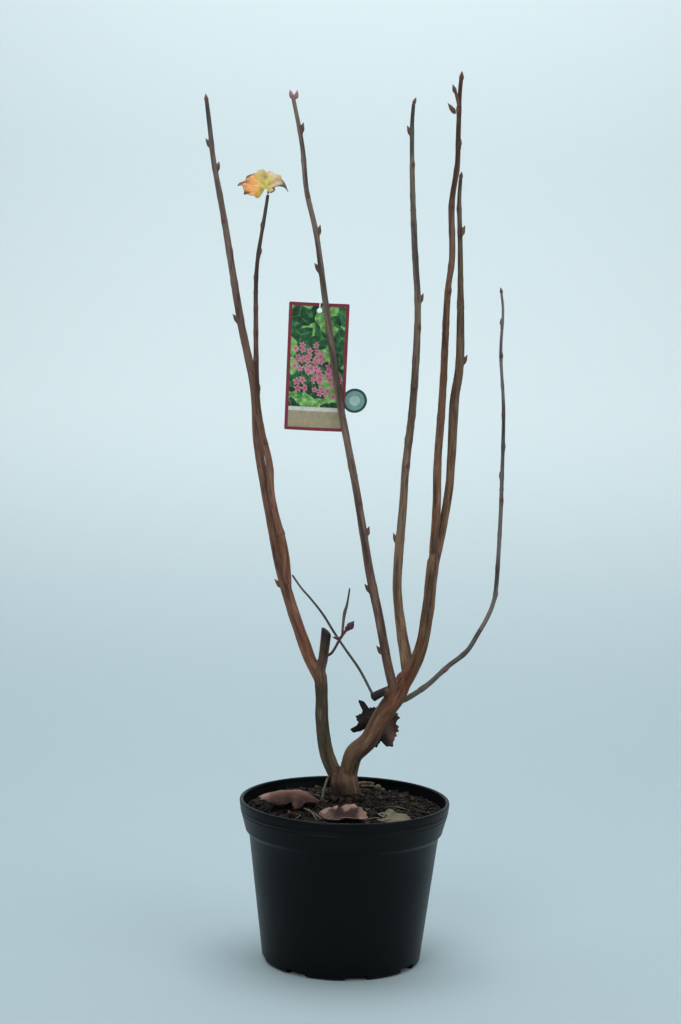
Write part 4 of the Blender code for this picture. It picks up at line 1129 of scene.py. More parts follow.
def relax(mesh, places, weight, rounds):
    """Smooths the weighted places by their neighbours' mean."""
    edges = np.zeros(len(mesh.edges) * 2, int)
    mesh.edges.foreach_get("vertices", edges)
    edges = edges.reshape(-1, 2)
    count = np.bincount(edges.ravel(), minlength=len(places))[:, None]
    for _ in range(rounds):
        total = np.zeros_like(places)
        for axis in range(3):
            total[:, axis] += np.bincount(edges[:, 0], places[edges[:, 1], axis], len(places))
            total[:, axis] += np.bincount(edges[:, 1], places[edges[:, 0], axis], len(places))
        places = places + weight[:, None] * (total / count - places)
    return places


def fork_wood_mesh():
    """The stems and the feet of the canes as one skin: forks run together, then bark on it."""
    look = settings("bark")
    work = bmesh.new()
    parts = {}
    for name, (reach, parent) in FORK_WOOD.items():
        rings = rings_of([limb_named(name)], look.ring_step)
        parts[name] = [ring for ring in rings if ring.run <= reach]
        goes_on = len(parts[name]) < len(rings)
        grown = rooted(parts[name], parts[parent]) if parent else parts[name]
        fork_tube(work, grown, goes_on, 0.35 if name == "dead_spur" else 1.0)
    mesh = remeshed(work, look.fork_voxel)
    places = points_of(mesh)
    found = {name: nearest_rings(places, rings) for name, rings in parts.items()}
    names = list(parts)
    gaps = np.array([found[name][1] for name in names])
    second = np.sort(gaps, axis=0)[1]
    near = np.clip(1.0 - second / look.fillet, 0.0, 1.0)
    for (weight, rounds), where in zip(FORK_SMOOTHING, (near, np.ones(len(places)))):
        places = relax(mesh, places, weight * where, rounds)
    mesh.vertices.foreach_set("co", places.astype(np.float32).ravel())
    mesh.update()
    normals = np.zeros(len(places) * 3, np.float32)
    mesh.vertex_normals.foreach_get("vector", normals)
    normals = normals.reshape(-1, 3)
    share = np.exp(-np.maximum(gaps, 0.0) / BARK_BLEND)
    share /= share.sum(axis=0)
    owner = gaps.argmin(axis=0)
    cork, crack = tuple(look.cork), tuple(look.crack)
    barks = {name: [ring.bark for ring in rings] for name, rings in parts.items()}
    moved, grains, tints = [], [], []
    for i, spot in enumerate(places):
        name = names[owner[i]]
        ring = parts[name][found[name][0][i]]
        offset = Vector(spot) - ring.point
        x, y = offset.dot(ring.side_a), offset.dot(ring.side_b)
        size = max(math.hypot(x, y), 0.0001)
        grain = Vector((x * ring.radius / size, y * ring.radius / size,
                        ring.run + offset.dot(ring.along) + grain_shift(name)))
        height = bark_relief(grain, ring.radius, look.ridge)
        low = smooth(*FLARE_BAND, spot[2])
        if low > 0.0:
            turn = Vector((x / size * 2.1, y / size * 2.1, spot[2] * 22.0))
            height += look.flare * low * noise.noise(turn)
        bark = (0.0, 0.0, 0.0)
        for k, other in enumerate(names):
            if share[k, i] > 0.02:
                theirs = barks[other][found[other][0][i]]
                bark = tuple(b + share[k, i] * t for b, t in zip(bark, theirs))
        # The bark is made darker towards the foot, below the band
        darker_foot = 0.55 * smooth(*DARK_FOOT_BAND, spot[2])
        moved.append(Vector(spot) + Vector(normals[i]) * height)
        grains.append(grain)
        tints.append(blend(bark_tint(bark, grain, cork, crack), crack, darker_foot))
    mesh.vertices.foreach_set("co", np.array([tuple(m) for m in moved], np.float32).ravel())
    put_attributes(mesh, grains, tints)
    mesh.shade_smooth()
    mesh.update()
    return mesh


# Buds
def grow_bud(skin, spot, body, edge, dice):
    """A pointed bud of lapped scales, its foot sunk in the wood."""
    look = settings("bud")
    turn = spot.direction.normalized().to_track_quat("Z", "Y")
    spin = dice.uniform(0.0, TAU)
    tone = dice.uniform(0.80, 1.20)
    places, grains, tints = [], [], []
    for ring in range(look.rings + 1):
        t = ring / look.rings
        profile = math.sin(math.pi * (0.02 + 0.97 * t) ** 0.82) ** 0.85 * (1.0 - 0.30 * t)
        for k in range(look.sides):
            angle = TAU * k / look.sides
            step = 1.0
            seam = 0.0
            for scale in range(look.scales):
                rim = (SCALE_START + SCALE_SPACING * scale
                       + SCALE_WAVE * math.cos(angle - spin - 2.4 * scale))
                step += look.scale_step * smooth(rim + 0.05, rim - 0.02, t)
                seam = max(seam, 1.0 - abs(t - rim) / SEAM_WIDTH)
            x, y = polar(0.5 * spot.width * profile * step, angle)
            local = Vector((x, y, (t - 0.5) * spot.length))
            places.append(spot.centre + turn @ local)
            grains.append(local + Vector((0.0, 0.0, spin)))
            tint = blend(body, edge, 0.75 * seam)
            tints.append(tuple(tone * c for c in tint))
    skin.add(places, tube_faces(look.rings + 1, look.sides), grains, tints)


# Leaves
def setting_matrix(origin, forward, up):
    """A matrix with +X along forward and +Z as near to up as it can be."""
    x_axis = Vector(forward).normalized()
    z_axis = Vector(up) - x_axis * Vector(up).dot(x_axis)
    z_axis.normalize()
    y_axis = z_axis.cross(x_axis)
    return Matrix.Translation(origin) @ Matrix((x_axis, y_axis, z_axis)).transposed().to_4x4()


def leaf_mesh(name, lobes, veins, reach, setting, shape, tint, least, teeth=0.05):
    """A lobed, toothed blade: lobes of (bearing, length, spread) round the stalk's end.

    shape(x, y) bends it and tint(bearing, share, x, y) colours it, where share is 0 at the
    stalk's end and 1 at the margin. The main veins are sunk furrows along their bearings.
    """
    look = settings("leaf")
    skin = Skin()
    places, grains, tints, faces = [], [], [], []

    def put(bearing, share):
        length = max(least, *(size * math.exp(-((bearing - aim) / spread) ** 2)
                              for aim, size, spread in lobes))
        saw = abs((bearing / TOOTH_SPACING) % 1.0 - 0.5) * 2.0
        length *= 1.0 + teeth * (saw - 0.6) * smooth(0.72, 1.0, share)
        x, y = polar(reach * length * share, math.radians(bearing))
        vein = min(abs(bearing - aim) for aim in veins)
        furrow = math.exp(-(math.radians(vein) * share * length * reach / VEIN_WIDTH) ** 2)
        height = shape(x, y) - VEIN_DEPTH * furrow * smooth(0.0, 0.25, share)
        places.append(setting @ Vector((x, y, height)))
        grains.append(Vector((x, y, grain_seed)))
        colour = tint(bearing, share, x, y)
        tints.append(blend(colour, tuple(min(1.5 * c + 0.02, 1.0) for c in colour),
                           0.45 * furrow))

    grain_seed = 0.1 * len(name)
    spokes, rings = look.spokes, look.rings
    put(0.0, 0.0)
    for ring in range(1, rings + 1):
        for spoke in range(spokes + 1):
            put(BLADE_SWEEP * (2.0 * spoke / spokes - 1.0), ring / rings)
    row = spokes + 1
    for spoke in range(spokes):
        faces.append((0, 1 + spoke, 2 + spoke))
        for ring in range(rings - 1):
            low = 1 + ring * row + spoke
            faces.append((low, low + row, low + row + 1, low + 1))
    skin.add(places, faces, grains, tints)
    return skin.mesh(name)


def thicken(piece, thickness):
    shell = piece.modifiers.new("thickness", "SOLIDIFY")
    shell.thickness = thickness
    shell.offset = 0.0
    shell.use_even_offset = True


def wrinkle(x, y, size, seed):
    """Uneven crumpling with creases about a size apart, from -1 to 1."""
    here = Vector((x / size, y / size, seed))
    return noise.noise(here) + 0.5 * noise.noise(2.3 * here)


# Compost
def soil_height(radius):
    """Height of the mound's surface at a radius."""
    share = (radius - SOIL_CROWN_RADIUS) / (SOIL_EDGE_RADIUS - SOIL_CROWN_RADIUS)
    share = min(max(share, 0.0), 1.0)
    return SOIL_CROWN_HEIGHT + (SOIL_EDGE_HEIGHT - SOIL_CROWN_HEIGHT) * share


def soil_surface(x, y):
    """Height of the compost's uneven surface at a place."""
    lumps = noise.noise(Vector((x * 55, y * 55, 3.0))) * 0.0016
    crumbs = noise.noise(Vector((x * 260, y * 260, 9.0))) * 0.0009
    return soil_height(math.hypot(x, y)) + soil_heap(x, y) + lumps + crumbs


def soil_heap(x, y):
    """How far the compost is drawn up round the stems' foot."""
    away = math.hypot(x - CROWN_PLACE[0], y - CROWN_PLACE[1])
    return HEAP_HEIGHT * math.exp(-(away / HEAP_SPREAD) ** 2)


def lump(skin, centre, size, flat, dice, slot, fine):
    """An angular crumb, squashed and turned at random."""
    work = bmesh.new()
    bmesh.ops.create_icosphere(work, subdivisions=2 if fine else 1, radius=0.5)
    turn = Matrix.Rotation(dice.uniform(0.0, TAU), 3, "Z")
    turn = turn @ Matrix.Rotation(dice.uniform(-0.6, 0.6), 3, "X")
    stretch = Vector((size * dice.uniform(0.8, 1.5), size, size * flat))
    seed = dice.uniform(0.0, 90.0)
    places = []
    for vertex in work.verts:
        rough = 1.0 + 0.75 * noise.noise(vertex.co * 3.4 + Vector((seed, 0.0, 0.0)))
        curl = Vector((0.0, 0.0, 0.45 * size * (2.0 * vertex.co.x) ** 2))
        places.append(centre + turn @ (vertex.co * rough * stretch + curl))
    faces = [tuple(vertex.index for vertex in face.verts) for face in work.faces]
    work.free()
    skin.add(places, faces, [p - centre for p in places], slot=slot)


def stick(skin, foot, tip, sag, radius, slot, sides=7, steps=14):
    """A thin dry stalk from foot to tip, bent by sag."""
    along = (tip - foot).normalized()
    side_a = along.orthogonal().normalized()
    side_b = along.cross(side_a)
    places = []
    for i in range(steps + 1):
        t = i / steps
        middle = foot.lerp(tip, t) + sag * (4.0 * t * (1.0 - t))
        knot = 1.0 + 0.35 * noise.noise(middle * 240.0)
        for out, _, _ in round_ring(side_a, side_b, sides):
            places.append(middle + out * radius * knot * (1.0 - 0.35 * t))
    skin.add(places, tube_faces(steps + 1, sides), [p - foot for p in places], slot=slot)


# Turned shapes
def turned(name, profile, segments):
    """A profile of (radius, height) pairs, outer side first, turned about the Z axis."""
    mesh = bpy.data.meshes.new(name)
    mesh.from_pydata([(r, 0.0, z) for r, z in profile],
                     [(i, i + 1) for i in range(len(profile) - 1)], [])
    made = linked(name, mesh)
    screw = made.modifiers.new("turn", "SCREW")
    screw.steps = segments
    screw.render_steps = segments
    screw.use_merge_vertices = True
    screw.merge_threshold = 0.00001
    return made


def arc(centre, radius, start, stop, steps):
    """Points on an arc round a (radius, height) or (across, up) centre, in degrees."""
    turns = [math.radians(start + (stop - start) * i / steps) for i in range(steps + 1)]
    return [(centre[0] + x, centre[1] + y) for x, y in (polar(radius, turn) for turn in turns)]


def pot_profile():
    """The pot's section: lip, band with two faint moulded lines, shoulder, body and base."""
    band_foot = POT_HEIGHT - RIM_BAND
    mouth = RIM_RADIUS - 2 * RIM_LIP
    inner_edge = (mouth, POT_HEIGHT - 0.0012)
    corner = (BASE_RADIUS - BASE_ROUNDING, BASE_ROUNDING)
    outer = [inner_edge]
    outer += arc((RIM_RADIUS - RIM_LIP, POT_HEIGHT - RIM_LIP), RIM_LIP, 150, 0, 9)
    outer.append((RIM_RADIUS - 0.0003, POT_HEIGHT - 0.0052))
    band_slope = (RIM_RADIUS - BAND_FOOT_RADIUS) / (RIM_BAND - LIP_DROP)
    for drop in MOULDED_LINES:
        at = POT_HEIGHT - drop
        radius = RIM_RADIUS - 0.0004 - band_slope * max(drop - LIP_DROP, 0.0)
        outer += [(radius, at + LINE_HALF), (radius + LINE_RISE, at), (radius, at - LINE_HALF)]
    outer += [(BAND_FOOT_RADIUS + 0.0002, band_foot + BAND_TURN + 0.0010),
              (BAND_FOOT_RADIUS, band_foot + BAND_TURN),
              (BAND_FOOT_RADIUS - 0.35 * BAND_STEP, band_foot + 0.0006),
              (BAND_FOOT_RADIUS - BAND_STEP, band_foot),
              (BODY_TOP_RADIUS + 0.0008, band_foot - 0.6 * SHOULDER),
              (BODY_TOP_RADIUS, band_foot - SHOULDER)]
    for share in (0.25, 0.5, 0.75):
        up = band_foot - SHOULDER + (BASE_ROUNDING - band_foot + SHOULDER) * share
        outer.append((BODY_TOP_RADIUS + (BASE_RADIUS - BODY_TOP_RADIUS) * share, up))
    outer += arc(corner, BASE_ROUNDING, 0, -90, 8)
    outer.append((0.0, 0.0))
    inner = [(0.0, WALL), (corner[0], WALL)]
    inner += arc(corner, BASE_ROUNDING - WALL, -90, 0, 5)[1:]
    inner += [(BODY_TOP_RADIUS - WALL, band_foot - SHOULDER),
              (BAND_FOOT_RADIUS - BAND_STEP - 2 * WALL, band_foot),
              (mouth, POT_HEIGHT - LIP_DROP), inner_edge]
    return outer + inner


def box_cutter(name, size, where, bearing):
    """A box that cuts a notch, in no collection yet."""
    work = bmesh.new()
    bmesh.ops.create_cube(work, size=1.0)
    made = bpy.data.objects.new(name, mesh_of(name, work))
    made.scale = size
    made.rotation_euler = (0.0, 0.0, bearing)
    made.location = where
    return made


def tag_plane():
    """Where the card leans on the cane in front of it: its middle's depth and its lean."""
    cane = limb_named("cane_c")
    points = centre_line(cane.route, BUD_LINE_STEP)
    run = distances(points)
    half = 0.5 * TAG_HEIGHT

    def behind(up):
        index = at_height(points, up)
        radius = radius_at(run[index] / run[-1], cane.girth)
        return points[index].y + radius + GAP + 0.5 * TAG_THICKNESS

    top = behind(TAG_CENTRE[1] + half)
    foot = behind(TAG_CENTRE[1] - half)
    bulge = max(behind(TAG_CENTRE[1] + half * (k / 8.0))
                - (foot + (top - foot) * (0.5 + k / 16.0)) for k in range(-8, 9))
    return 0.5 * (top + foot) + bulge, math.atan2(top - foot, TAG_HEIGHT)


def tag_outline():
    """The card's edge: a rectangle with a round tab, a hole and a slit up to the top."""
    half_width, half_height = 0.5 * TAG_WIDTH, 0.5 * TAG_HEIGHT
    side, end = half_width - CARD_CORNER, half_height - CARD_CORNER
    outline = arc((-side, -end), CARD_CORNER, 180, 270, 4)
    outline += arc((side, -end), CARD_CORNER, 270, 360, 4)
    open_angle = math.degrees(math.acos(TAB_REACH / TAB_RADIUS))
    outline += arc((half_width + TAB_REACH, -TAB_DROP), TAB_RADIUS, 180.0 + open_angle,
                   540.0 - open_angle, 36)
    outline += arc((side, end), CARD_CORNER, 0, 90, 4)
    slit = 0.5 * SLIT_WIDTH
    opening = math.degrees(math.asin(slit / HOLE_RADIUS))
    outline.append((HOLE_PLACE[0] + slit, half_height))
    outline += arc(HOLE_PLACE, HOLE_RADIUS, 90.0 - opening, -270.0 + opening, 20)
    outline.append((HOLE_PLACE[0] - slit, half_height))
    return outline + arc((-side, end), CARD_CORNER, 90, 180, 4)


class CurrantOperator:
    bl_options = {"REGISTER", "UNDO"}


class CURRANT_OT_fork_wood(CurrantOperator, bpy.types.Operator):
    """Stems and forks as one skin of weathered bark, with the pruned stub"""
    bl_idname = "currant.fork_wood"
    bl_label = "Stems and Forks"

    def execute(self, context):
        bark = bark_material()
        finish_piece("fork_wood", fork_wood_mesh(), [bark],
                     ("root_crown", "left_stem", "right_stem", "cane_e", "dead_spur"))
        self.stub(bark)
        return {"FINISHED"}

    def stub(self, bark):
        """The pruned stub, its top cut on a slant."""
        rings = after(rings_of([limb_named("pruned_stub")], TWIG_STEP), 0.010)
        skin, sides = Skin(), 22
        grow_limb(skin, rings, sides, (), grain_shift("pruned_stub"), taper_tip=False)
        slant = Vector((-0.62, 0.25, 0.0))
        last = rings[-1]
        for i, spot in enumerate(skin.places):
            ring = rings[i // sides]
            weight = smooth(0.012, 0.0, last.run - ring.run)
            spot += last.along * (weight * (spot - ring.point).dot(slant))
        skin.slots[-1] = 1
        finish_piece("pruned_stub_bark", skin.mesh("pruned_stub_bark"),
                     [bark, cut_wood_material()], ("pruned_stub",))


class CURRANT_OT_canes(CurrantOperator, bpy.types.Operator):
    """Young canes with bark relief, nodes and growth collars"""
    bl_idname = "currant.canes"
    bl_label = "Canes"

    def execute(self, context):
        look = settings("bark")
        bark = bpy.data.materials["weathered_currant_bark"]
        spots = bud_spots()
        for names in (("cane_a",), ("cane_b",), ("cane_c",), ("cane_d",), ("cane_e_left",),
                      ("cane_e_right",), ("cane_f_lower", "cane_f_upper")):
            limbs = [limb_named(name) for name in names]
            rings = after(rings_of(limbs, look.ring_step), FORK_WOOD[names[0]][0] - FORK_PEG)
            near = [spot for name in names for spot in spots[name]]
            skin = Skin()
            sides = CANE_SIDES[rings[0].radius > THICK_CANE]
            grow_limb(skin, rings, sides, near, grain_shift(names[0]))
            tip = limbs[-1].tip_bark
            grow_shoots(skin, names, tip, tip, 40.0)
            title = names[0].replace("_lower", "") + "_bark"
            finish_piece(title, skin.mesh(title), [bark], names)
        return {"FINISHED"}

class CURRANT_OT_twigs(CurrantOperator, bpy.types.Operator):
    """The thin dead twig and the short budded twig low down"""
    bl_idname = "currant.twigs"
    bl_label = "Low Twigs"

    def execute(self, context):
        bark = bpy.data.materials["weathered_currant_bark"]
        for name in ("thin_twig", "budded_twig"):
            skin = Skin()
            rings = rings_of([limb_named(name)], TWIG_STEP)
            grow_limb(skin, rings, TWIG_SIDES, (), grain_shift(name))
            grow_shoots(skin, (name,), "#6b4b48", "#5a5049", 50.0)
            finish_piece(name + "_bark", skin.mesh(name + "_bark"), [bark], (name,))
        return {"FINISHED"}


class CURRANT_OT_buds(CurrantOperator, bpy.types.Operator):
    """Winter buds of lapped scales along the canes and at their tips"""
    bl_idname = "currant.buds"
    bl_label = "Winter Buds"

    def execute(self, context):
        look = settings("bud")
        dice = random.Random(SEED + 1)
        skin = Skin()
        for name, spots in bud_spots().items():
            for spot in spots:
                grow_bud(skin, spot, tuple(look.body), tuple(look.edge), dice)
        for owner, centre, direction, length, width in TIP_BUDS:
            body = {"budded_twig": look.plump, "cane_c": look.rosy}.get(owner, look.body)
            spot = BudSpot(Vector(centre), Vector(direction), length, width, None, None)
            grow_bud(skin, spot, tuple(body), tuple(look.edge), dice)
        finish_piece("winter_buds", skin.mesh("winter_buds"), [bud_material()])
        return {"FINISHED"}


class CURRANT_OT_autumn_leaf(CurrantOperator, bpy.types.Operator):
    """The last leaf, lobed and turning, on the tip of the second cane"""
    bl_idname = "currant.autumn_leaf"
    bl_label = "Autumn Leaf"

    def execute(self, context):
        look = settings("leaf")
        tip = place(limb_named("cane_b").route[-1])
        joint = tip + Vector(AUTUMN_LEAF_JOINT)
        scorch = tuple(look.scorch)

        def curl(x, y):
            tilt, ahead, left, right = AUTUMN_LEAF_BEND
            size, pace = AUTUMN_LEAF_WAVE
            return (tilt * x + ahead * x ** 2 + left * max(y, 0.0) ** 2
                    + right * min(y, 0.0) ** 4 + size * math.sin(pace * (x + y))
                    + 0.0009 * wrinkle(x, y, 0.008, 1.0))

        def tint(bearing, share, x, y):
            left, ahead = y / AUTUMN_LEAF_REACH, x / AUTUMN_LEAF_REACH
            patchy = 0.12 * wrinkle(x, y, 0.007, 4.0)
            colour = blend(tuple(look.yellow_green), tuple(look.orange),
                           smooth(0.08, 0.40, left + patchy))
            colour = blend(colour, tuple(look.cream), smooth(-0.05, -0.35, left + patchy))
            colour = blend(colour, tuple(look.cream), 0.6 * smooth(0.55, 0.90, ahead + patchy))
            tips = max(math.exp(-((bearing - aim) / SCORCH_SPREAD) ** 2)
                       for aim in AUTUMN_LEAF_TIPS)
            tips += smooth(-40.0, -50.0, bearing)
            edge = share + 0.20 * wrinkle(x, y, 0.005, 5.0)
            colour = blend(colour, scorch, 0.95 * min(tips, 1.0) * smooth(0.66, 0.88, edge))
            # An olive brown spot along the fold of the blade
            fold = math.exp(-((ahead - 0.60) / 0.15) ** 2 - ((left + 0.02) / 0.075) ** 2)
            return blend(colour, tuple(look.fold_spot), 0.85 * fold)

        setting = setting_matrix(joint, *AUTUMN_LEAF_FACING)
        mesh = leaf_mesh("autumn_leaf_blade", AUTUMN_LEAF_LOBES, AUTUMN_LEAF_VEINS,
                         AUTUMN_LEAF_REACH, setting, curl, tint, AUTUMN_LEAF_LEAST)
        finish = leaf_material("turning_currant_leaf", 0.16, 0.55)
        leaf = finish_piece("autumn_leaf_blade", mesh, [finish], ("autumn_leaf",))
        thicken(leaf, look.thickness)
        stations = tuple((p.z, p.x, p.y) for p in (tip + Vector(STALK_START),
                                                   tip + Vector(STALK_MIDDLE), joint))
        stalk = Limb("stalk", stations, (0.0020, 0.0016, 0.0017), "#6a5030", "#93803e")
        skin = Skin()
        grow_limb(skin, rings_of([stalk], 0.0006), 10, (), 60.0)
        finish_piece("autumn_leaf_stalk", skin.mesh("autumn_leaf_stalk"), [finish])
        return {"FINISHED"}


class CURRANT_OT_withered_leaf(CurrantOperator, bpy.types.Operator):
    """The dark shrivelled leaf caught behind the right stem"""
    bl_idname = "currant.withered_leaf"
    bl_label = "Withered Leaf"

    def execute(self, context):
        look = settings("leaf")

        def crumple(x, y):
            depth, ahead, aside = WITHERED_LEAF_CRUMPLE
            return (depth * math.sin(ahead * x + 1.0) * math.cos(aside * y)
                    + 0.0012 * wrinkle(x, y, 0.007, 2.0))

        def tint(bearing, share, x, y):
            patchy = 12.0 * wrinkle(x, y, 0.008, 7.0)
            colour = blend(tuple(look.withered_red), tuple(look.withered),
                           smooth(-4.0, 30.0, bearing + patchy))
            colour = blend(colour, tuple(look.withered), smooth(-98.0, -112.0, bearing + patchy))
            return blend(colour, tuple(look.liver), 0.6 * smooth(0.60, 0.30, share))

        setting = setting_matrix(WITHERED_LEAF_PLACE, *WITHERED_LEAF_FACING)
        mesh = leaf_mesh("withered_leaf_blade", WITHERED_LEAF_LOBES, WITHERED_LEAF_VEINS,
                         WITHERED_LEAF_REACH, setting, crumple, tint, WITHERED_LEAF_LEAST,
                         teeth=0.10)
        leaf = finish_piece("withered_leaf_blade", mesh,
                            [leaf_material("withered_currant_leaf", 0.25, 0.75)],
                            ("withered_leaf",))
        thicken(leaf, WITHERED_LEAF_SHEET)
        return {"FINISHED"}


class CURRANT_OT_fallen_leaves(CurrantOperator, bpy.types.Operator):
    """Dry leaves that lie curled on the compost"""
    bl_idname = "currant.fallen_leaves"
    bl_label = "Fallen Leaves"

    def execute(self, context):
        look = settings("leaf")
        finish = leaf_material("dry_fallen_leaf", 0.22, 0.8)
        bodies = (look.rust, look.pinkish, look.pale)
        shades = (self.mound_shades, self.scroll_shades, self.flat_shades)
        for leaf, body, shade in zip(FALLEN_LEAVES, bodies, shades):
            self.leaf(leaf, tuple(body), finish, shade)
        return {"FINISHED"}

    def mound_shades(self, ahead, aside):
        """Shares of painted shade and painted highlight: shade along the front and the back, a
        highlight on the ridge and at the left end."""
        ridge = math.exp(-((ahead + 0.06) / 0.12) ** 2)
        dark = max(smooth(0.06, 0.30, ahead), 0.8 * smooth(-0.10, -0.28, ahead))
        return dark, max(0.35 * ridge, 0.85 * smooth(-0.70, -0.86, aside))

    def scroll_shades(self, ahead, aside):
        """Painted shade inside the scroll; painted highlights on its rims and at both ends."""
        uneven = 0.05 * math.sin(9.0 * aside) + 0.03 * math.sin(23.0 * aside + 1.0)
        rim = max(smooth(-0.25, -0.31, ahead + uneven), smooth(0.32, 0.37, ahead + uneven))
        ends = smooth(0.66, 0.88, aside + uneven) + 0.6 * smooth(0.24, 0.04, aside + uneven)
        return 1.0 - max(rim, 0.8 * min(ends, 1.0)), max(0.9 * rim, 0.7 * min(ends, 1.0))

    def flat_shades(self, ahead, aside):
        """The bleached leaf: a little darker all over, and paler in its middle."""
        return 0.15, 0.30 * math.exp(-((aside - 0.5) / 0.3) ** 2 - (ahead / 0.3) ** 2)

    def leaf(self, leaf, body, finish, shades):
        """One leaf, bent over the compost that it lies on."""
        look = settings("leaf")
        turn = Matrix.Rotation(math.radians(leaf.bearing), 3, "Z")
        setting = Matrix.Translation((*leaf.where, 0.0)) @ turn.to_4x4()
        middle_spread, side_spread = FALLEN_SPREADS
        lobes = ((0.0, 1.0, middle_spread), (FALLEN_SIDE_LOBE, leaf.width, side_spread),
                 (-FALLEN_SIDE_LOBE, leaf.width, side_spread))
        seed = leaf.reach * 1000.0

        def rise(x, y):
            """Height of the bent blade over the place where it lies on the compost."""
            across, along = y / leaf.reach, x / leaf.reach
            ridge = (max(1.0 - (across / ARCH_WIDTH) ** 2, 0.0)
                     * (1.0 - (along - ARCH_MIDDLE) ** 2))
            back = (turn @ Vector((along, across, 0.0))).y
            return (leaf.sides * across ** 2 + leaf.ends * along ** 2 + leaf.arch * ridge
                    + leaf.tilt * back + 0.0010 * wrinkle(x, y, 0.009, seed))

        flat = [polar(0.1 * k * leaf.reach, TAU * s / 48) for k in range(1, 10)
                for s in range(-18, 19)]
        lowest = min(rise(x, y) for x, y in flat if abs(y) < leaf.width * leaf.reach)

        def lie(x, y):
            spot = setting @ Vector((x, y, 0.0))
            bed = soil_height(spot.xy.length) + soil_heap(spot.x, spot.y)
            return bed + FALLEN_CLEARANCE + rise(x, y) - lowest

        def tint(bearing, share, x, y):
            spot = turn @ Vector((x / leaf.reach, y / leaf.reach, 0.0))
            # dark is the share of painted shade and light the share of painted highlight; patchy
            # adds real mottling, paler and darker
            dark, light = shades(-spot.y, spot.x)
            patchy = 0.45 * wrinkle(x, y, 0.007, seed + 3.0)
            colour = blend(body, tuple(look.highlight_and_bleach), light + 0.5 * patchy)
            return blend(colour, tuple(look.liver), 0.85 * dark * (1.0 + patchy) + 0.5 * patchy)

        veins = (-FALLEN_SIDE_LOBE, 0.0, FALLEN_SIDE_LOBE)
        mesh = leaf_mesh(leaf.name + "_blade", lobes, veins, leaf.reach, setting, lie, tint,
                         FALLEN_LEAST)
        piece = finish_piece(leaf.name + "_blade", mesh, [finish], (leaf.name,))
        thicken(piece, FALLEN_SHEET)


class CURRANT_OT_tag(CurrantOperator, bpy.types.Operator):
    """Printed plant tag with a plain round tab, leaning on a cane"""
    bl_idname = "currant.tag"
    bl_label = "Plant Tag"

    def execute(self, context):
        look = settings("tag")
        work = bmesh.new()
        work.faces.new([work.verts.new((x, y, 0.0)) for x, y in tag_outline()])
        for i in range(1, CARD_CUTS):
            across = TAG_WIDTH * (i / CARD_CUTS - 0.5)
            up = TAG_HEIGHT * (i / CARD_CUTS - 0.5)
            for middle, normal in (((across, 0.0, 0.0), (1.0, 0.0, 0.0)),
                                   ((0.0, up, 0.0), (0.0, 1.0, 0.0))):
                whole = list(work.verts) + list(work.edges) + list(work.faces)
                bmesh.ops.bisect_plane(work, geom=whole, dist=0.0000001, plane_co=middle,
                                       plane_no=normal)
        mesh = mesh_of("plant_tag_card", work)
        card = mesh.attributes.new("card", "FLOAT_VECTOR", "POINT")
        card.data.foreach_set("vector", points_of(mesh).astype(np.float32).ravel())
        for vertex in mesh.vertices:
            side = vertex.co.x / (0.5 * TAG_WIDTH)
            vertex.co.z = -look.bow * side * side
        depth, lean = tag_plane()
        mesh.transform(Matrix.Translation((TAG_CENTRE[0], depth, TAG_CENTRE[1]))
                       @ Matrix.Rotation(-lean, 4, "X")
                       @ Matrix.Rotation(math.radians(TAG_ROLL), 4, "Y")
                       @ Matrix.Rotation(math.radians(90.0), 4, "X"))
        mesh.shade_smooth()
        tag = finish_piece("plant_tag_card", mesh, [print_material()], ("plant_tag",))
        thicken(tag, CARD_SHEET)
        edges = tag.modifiers.new("crisp", "EDGE_SPLIT")
        edges.split_angle = math.radians(45.0)
        return {"FINISHED"}


class CURRANT_OT_pot(CurrantOperator, bpy.types.Operator):
    """Round nursery pot of black plastic with drain notches"""
    bl_idname = "currant.pot"
    bl_label = "Nursery Pot"

    def execute(self, context):
        pot = turned("nursery_pot_turned", pot_profile(), settings("pot").segments)
        cutters = bpy.data.collections.new("drain_notches")
        context.scene.collection.children.link(cutters)
        for i in range(NOTCHES):
            bearing = math.radians(-90.0 + NOTCH_TURN + 360.0 * i / NOTCHES)
            where = (*polar(BASE_RADIUS - NOTCH_INSET, bearing), 0.0)
            cutters.objects.link(box_cutter(f"notch_{i}", NOTCH_SIZE, where, bearing))
        tool = pot.modifiers.new("notches", "BOOLEAN")
        tool.operand_type = "COLLECTION"
        tool.collection = cutters
        tool.solver = "EXACT"
        mesh = applied_mesh(pot)
        for cutter in list(cutters.objects):
            bpy.data.objects.remove(cutter)
        bpy.data.collections.remove(cutters)
        mesh.materials.clear()
        mesh.shade_smooth()
        mesh.set_sharp_from_angle(angle=math.radians(38.0))
        finish_piece("nursery_pot", mesh, [plastic_material()], ("pot",))
        return {"FINISHED"}


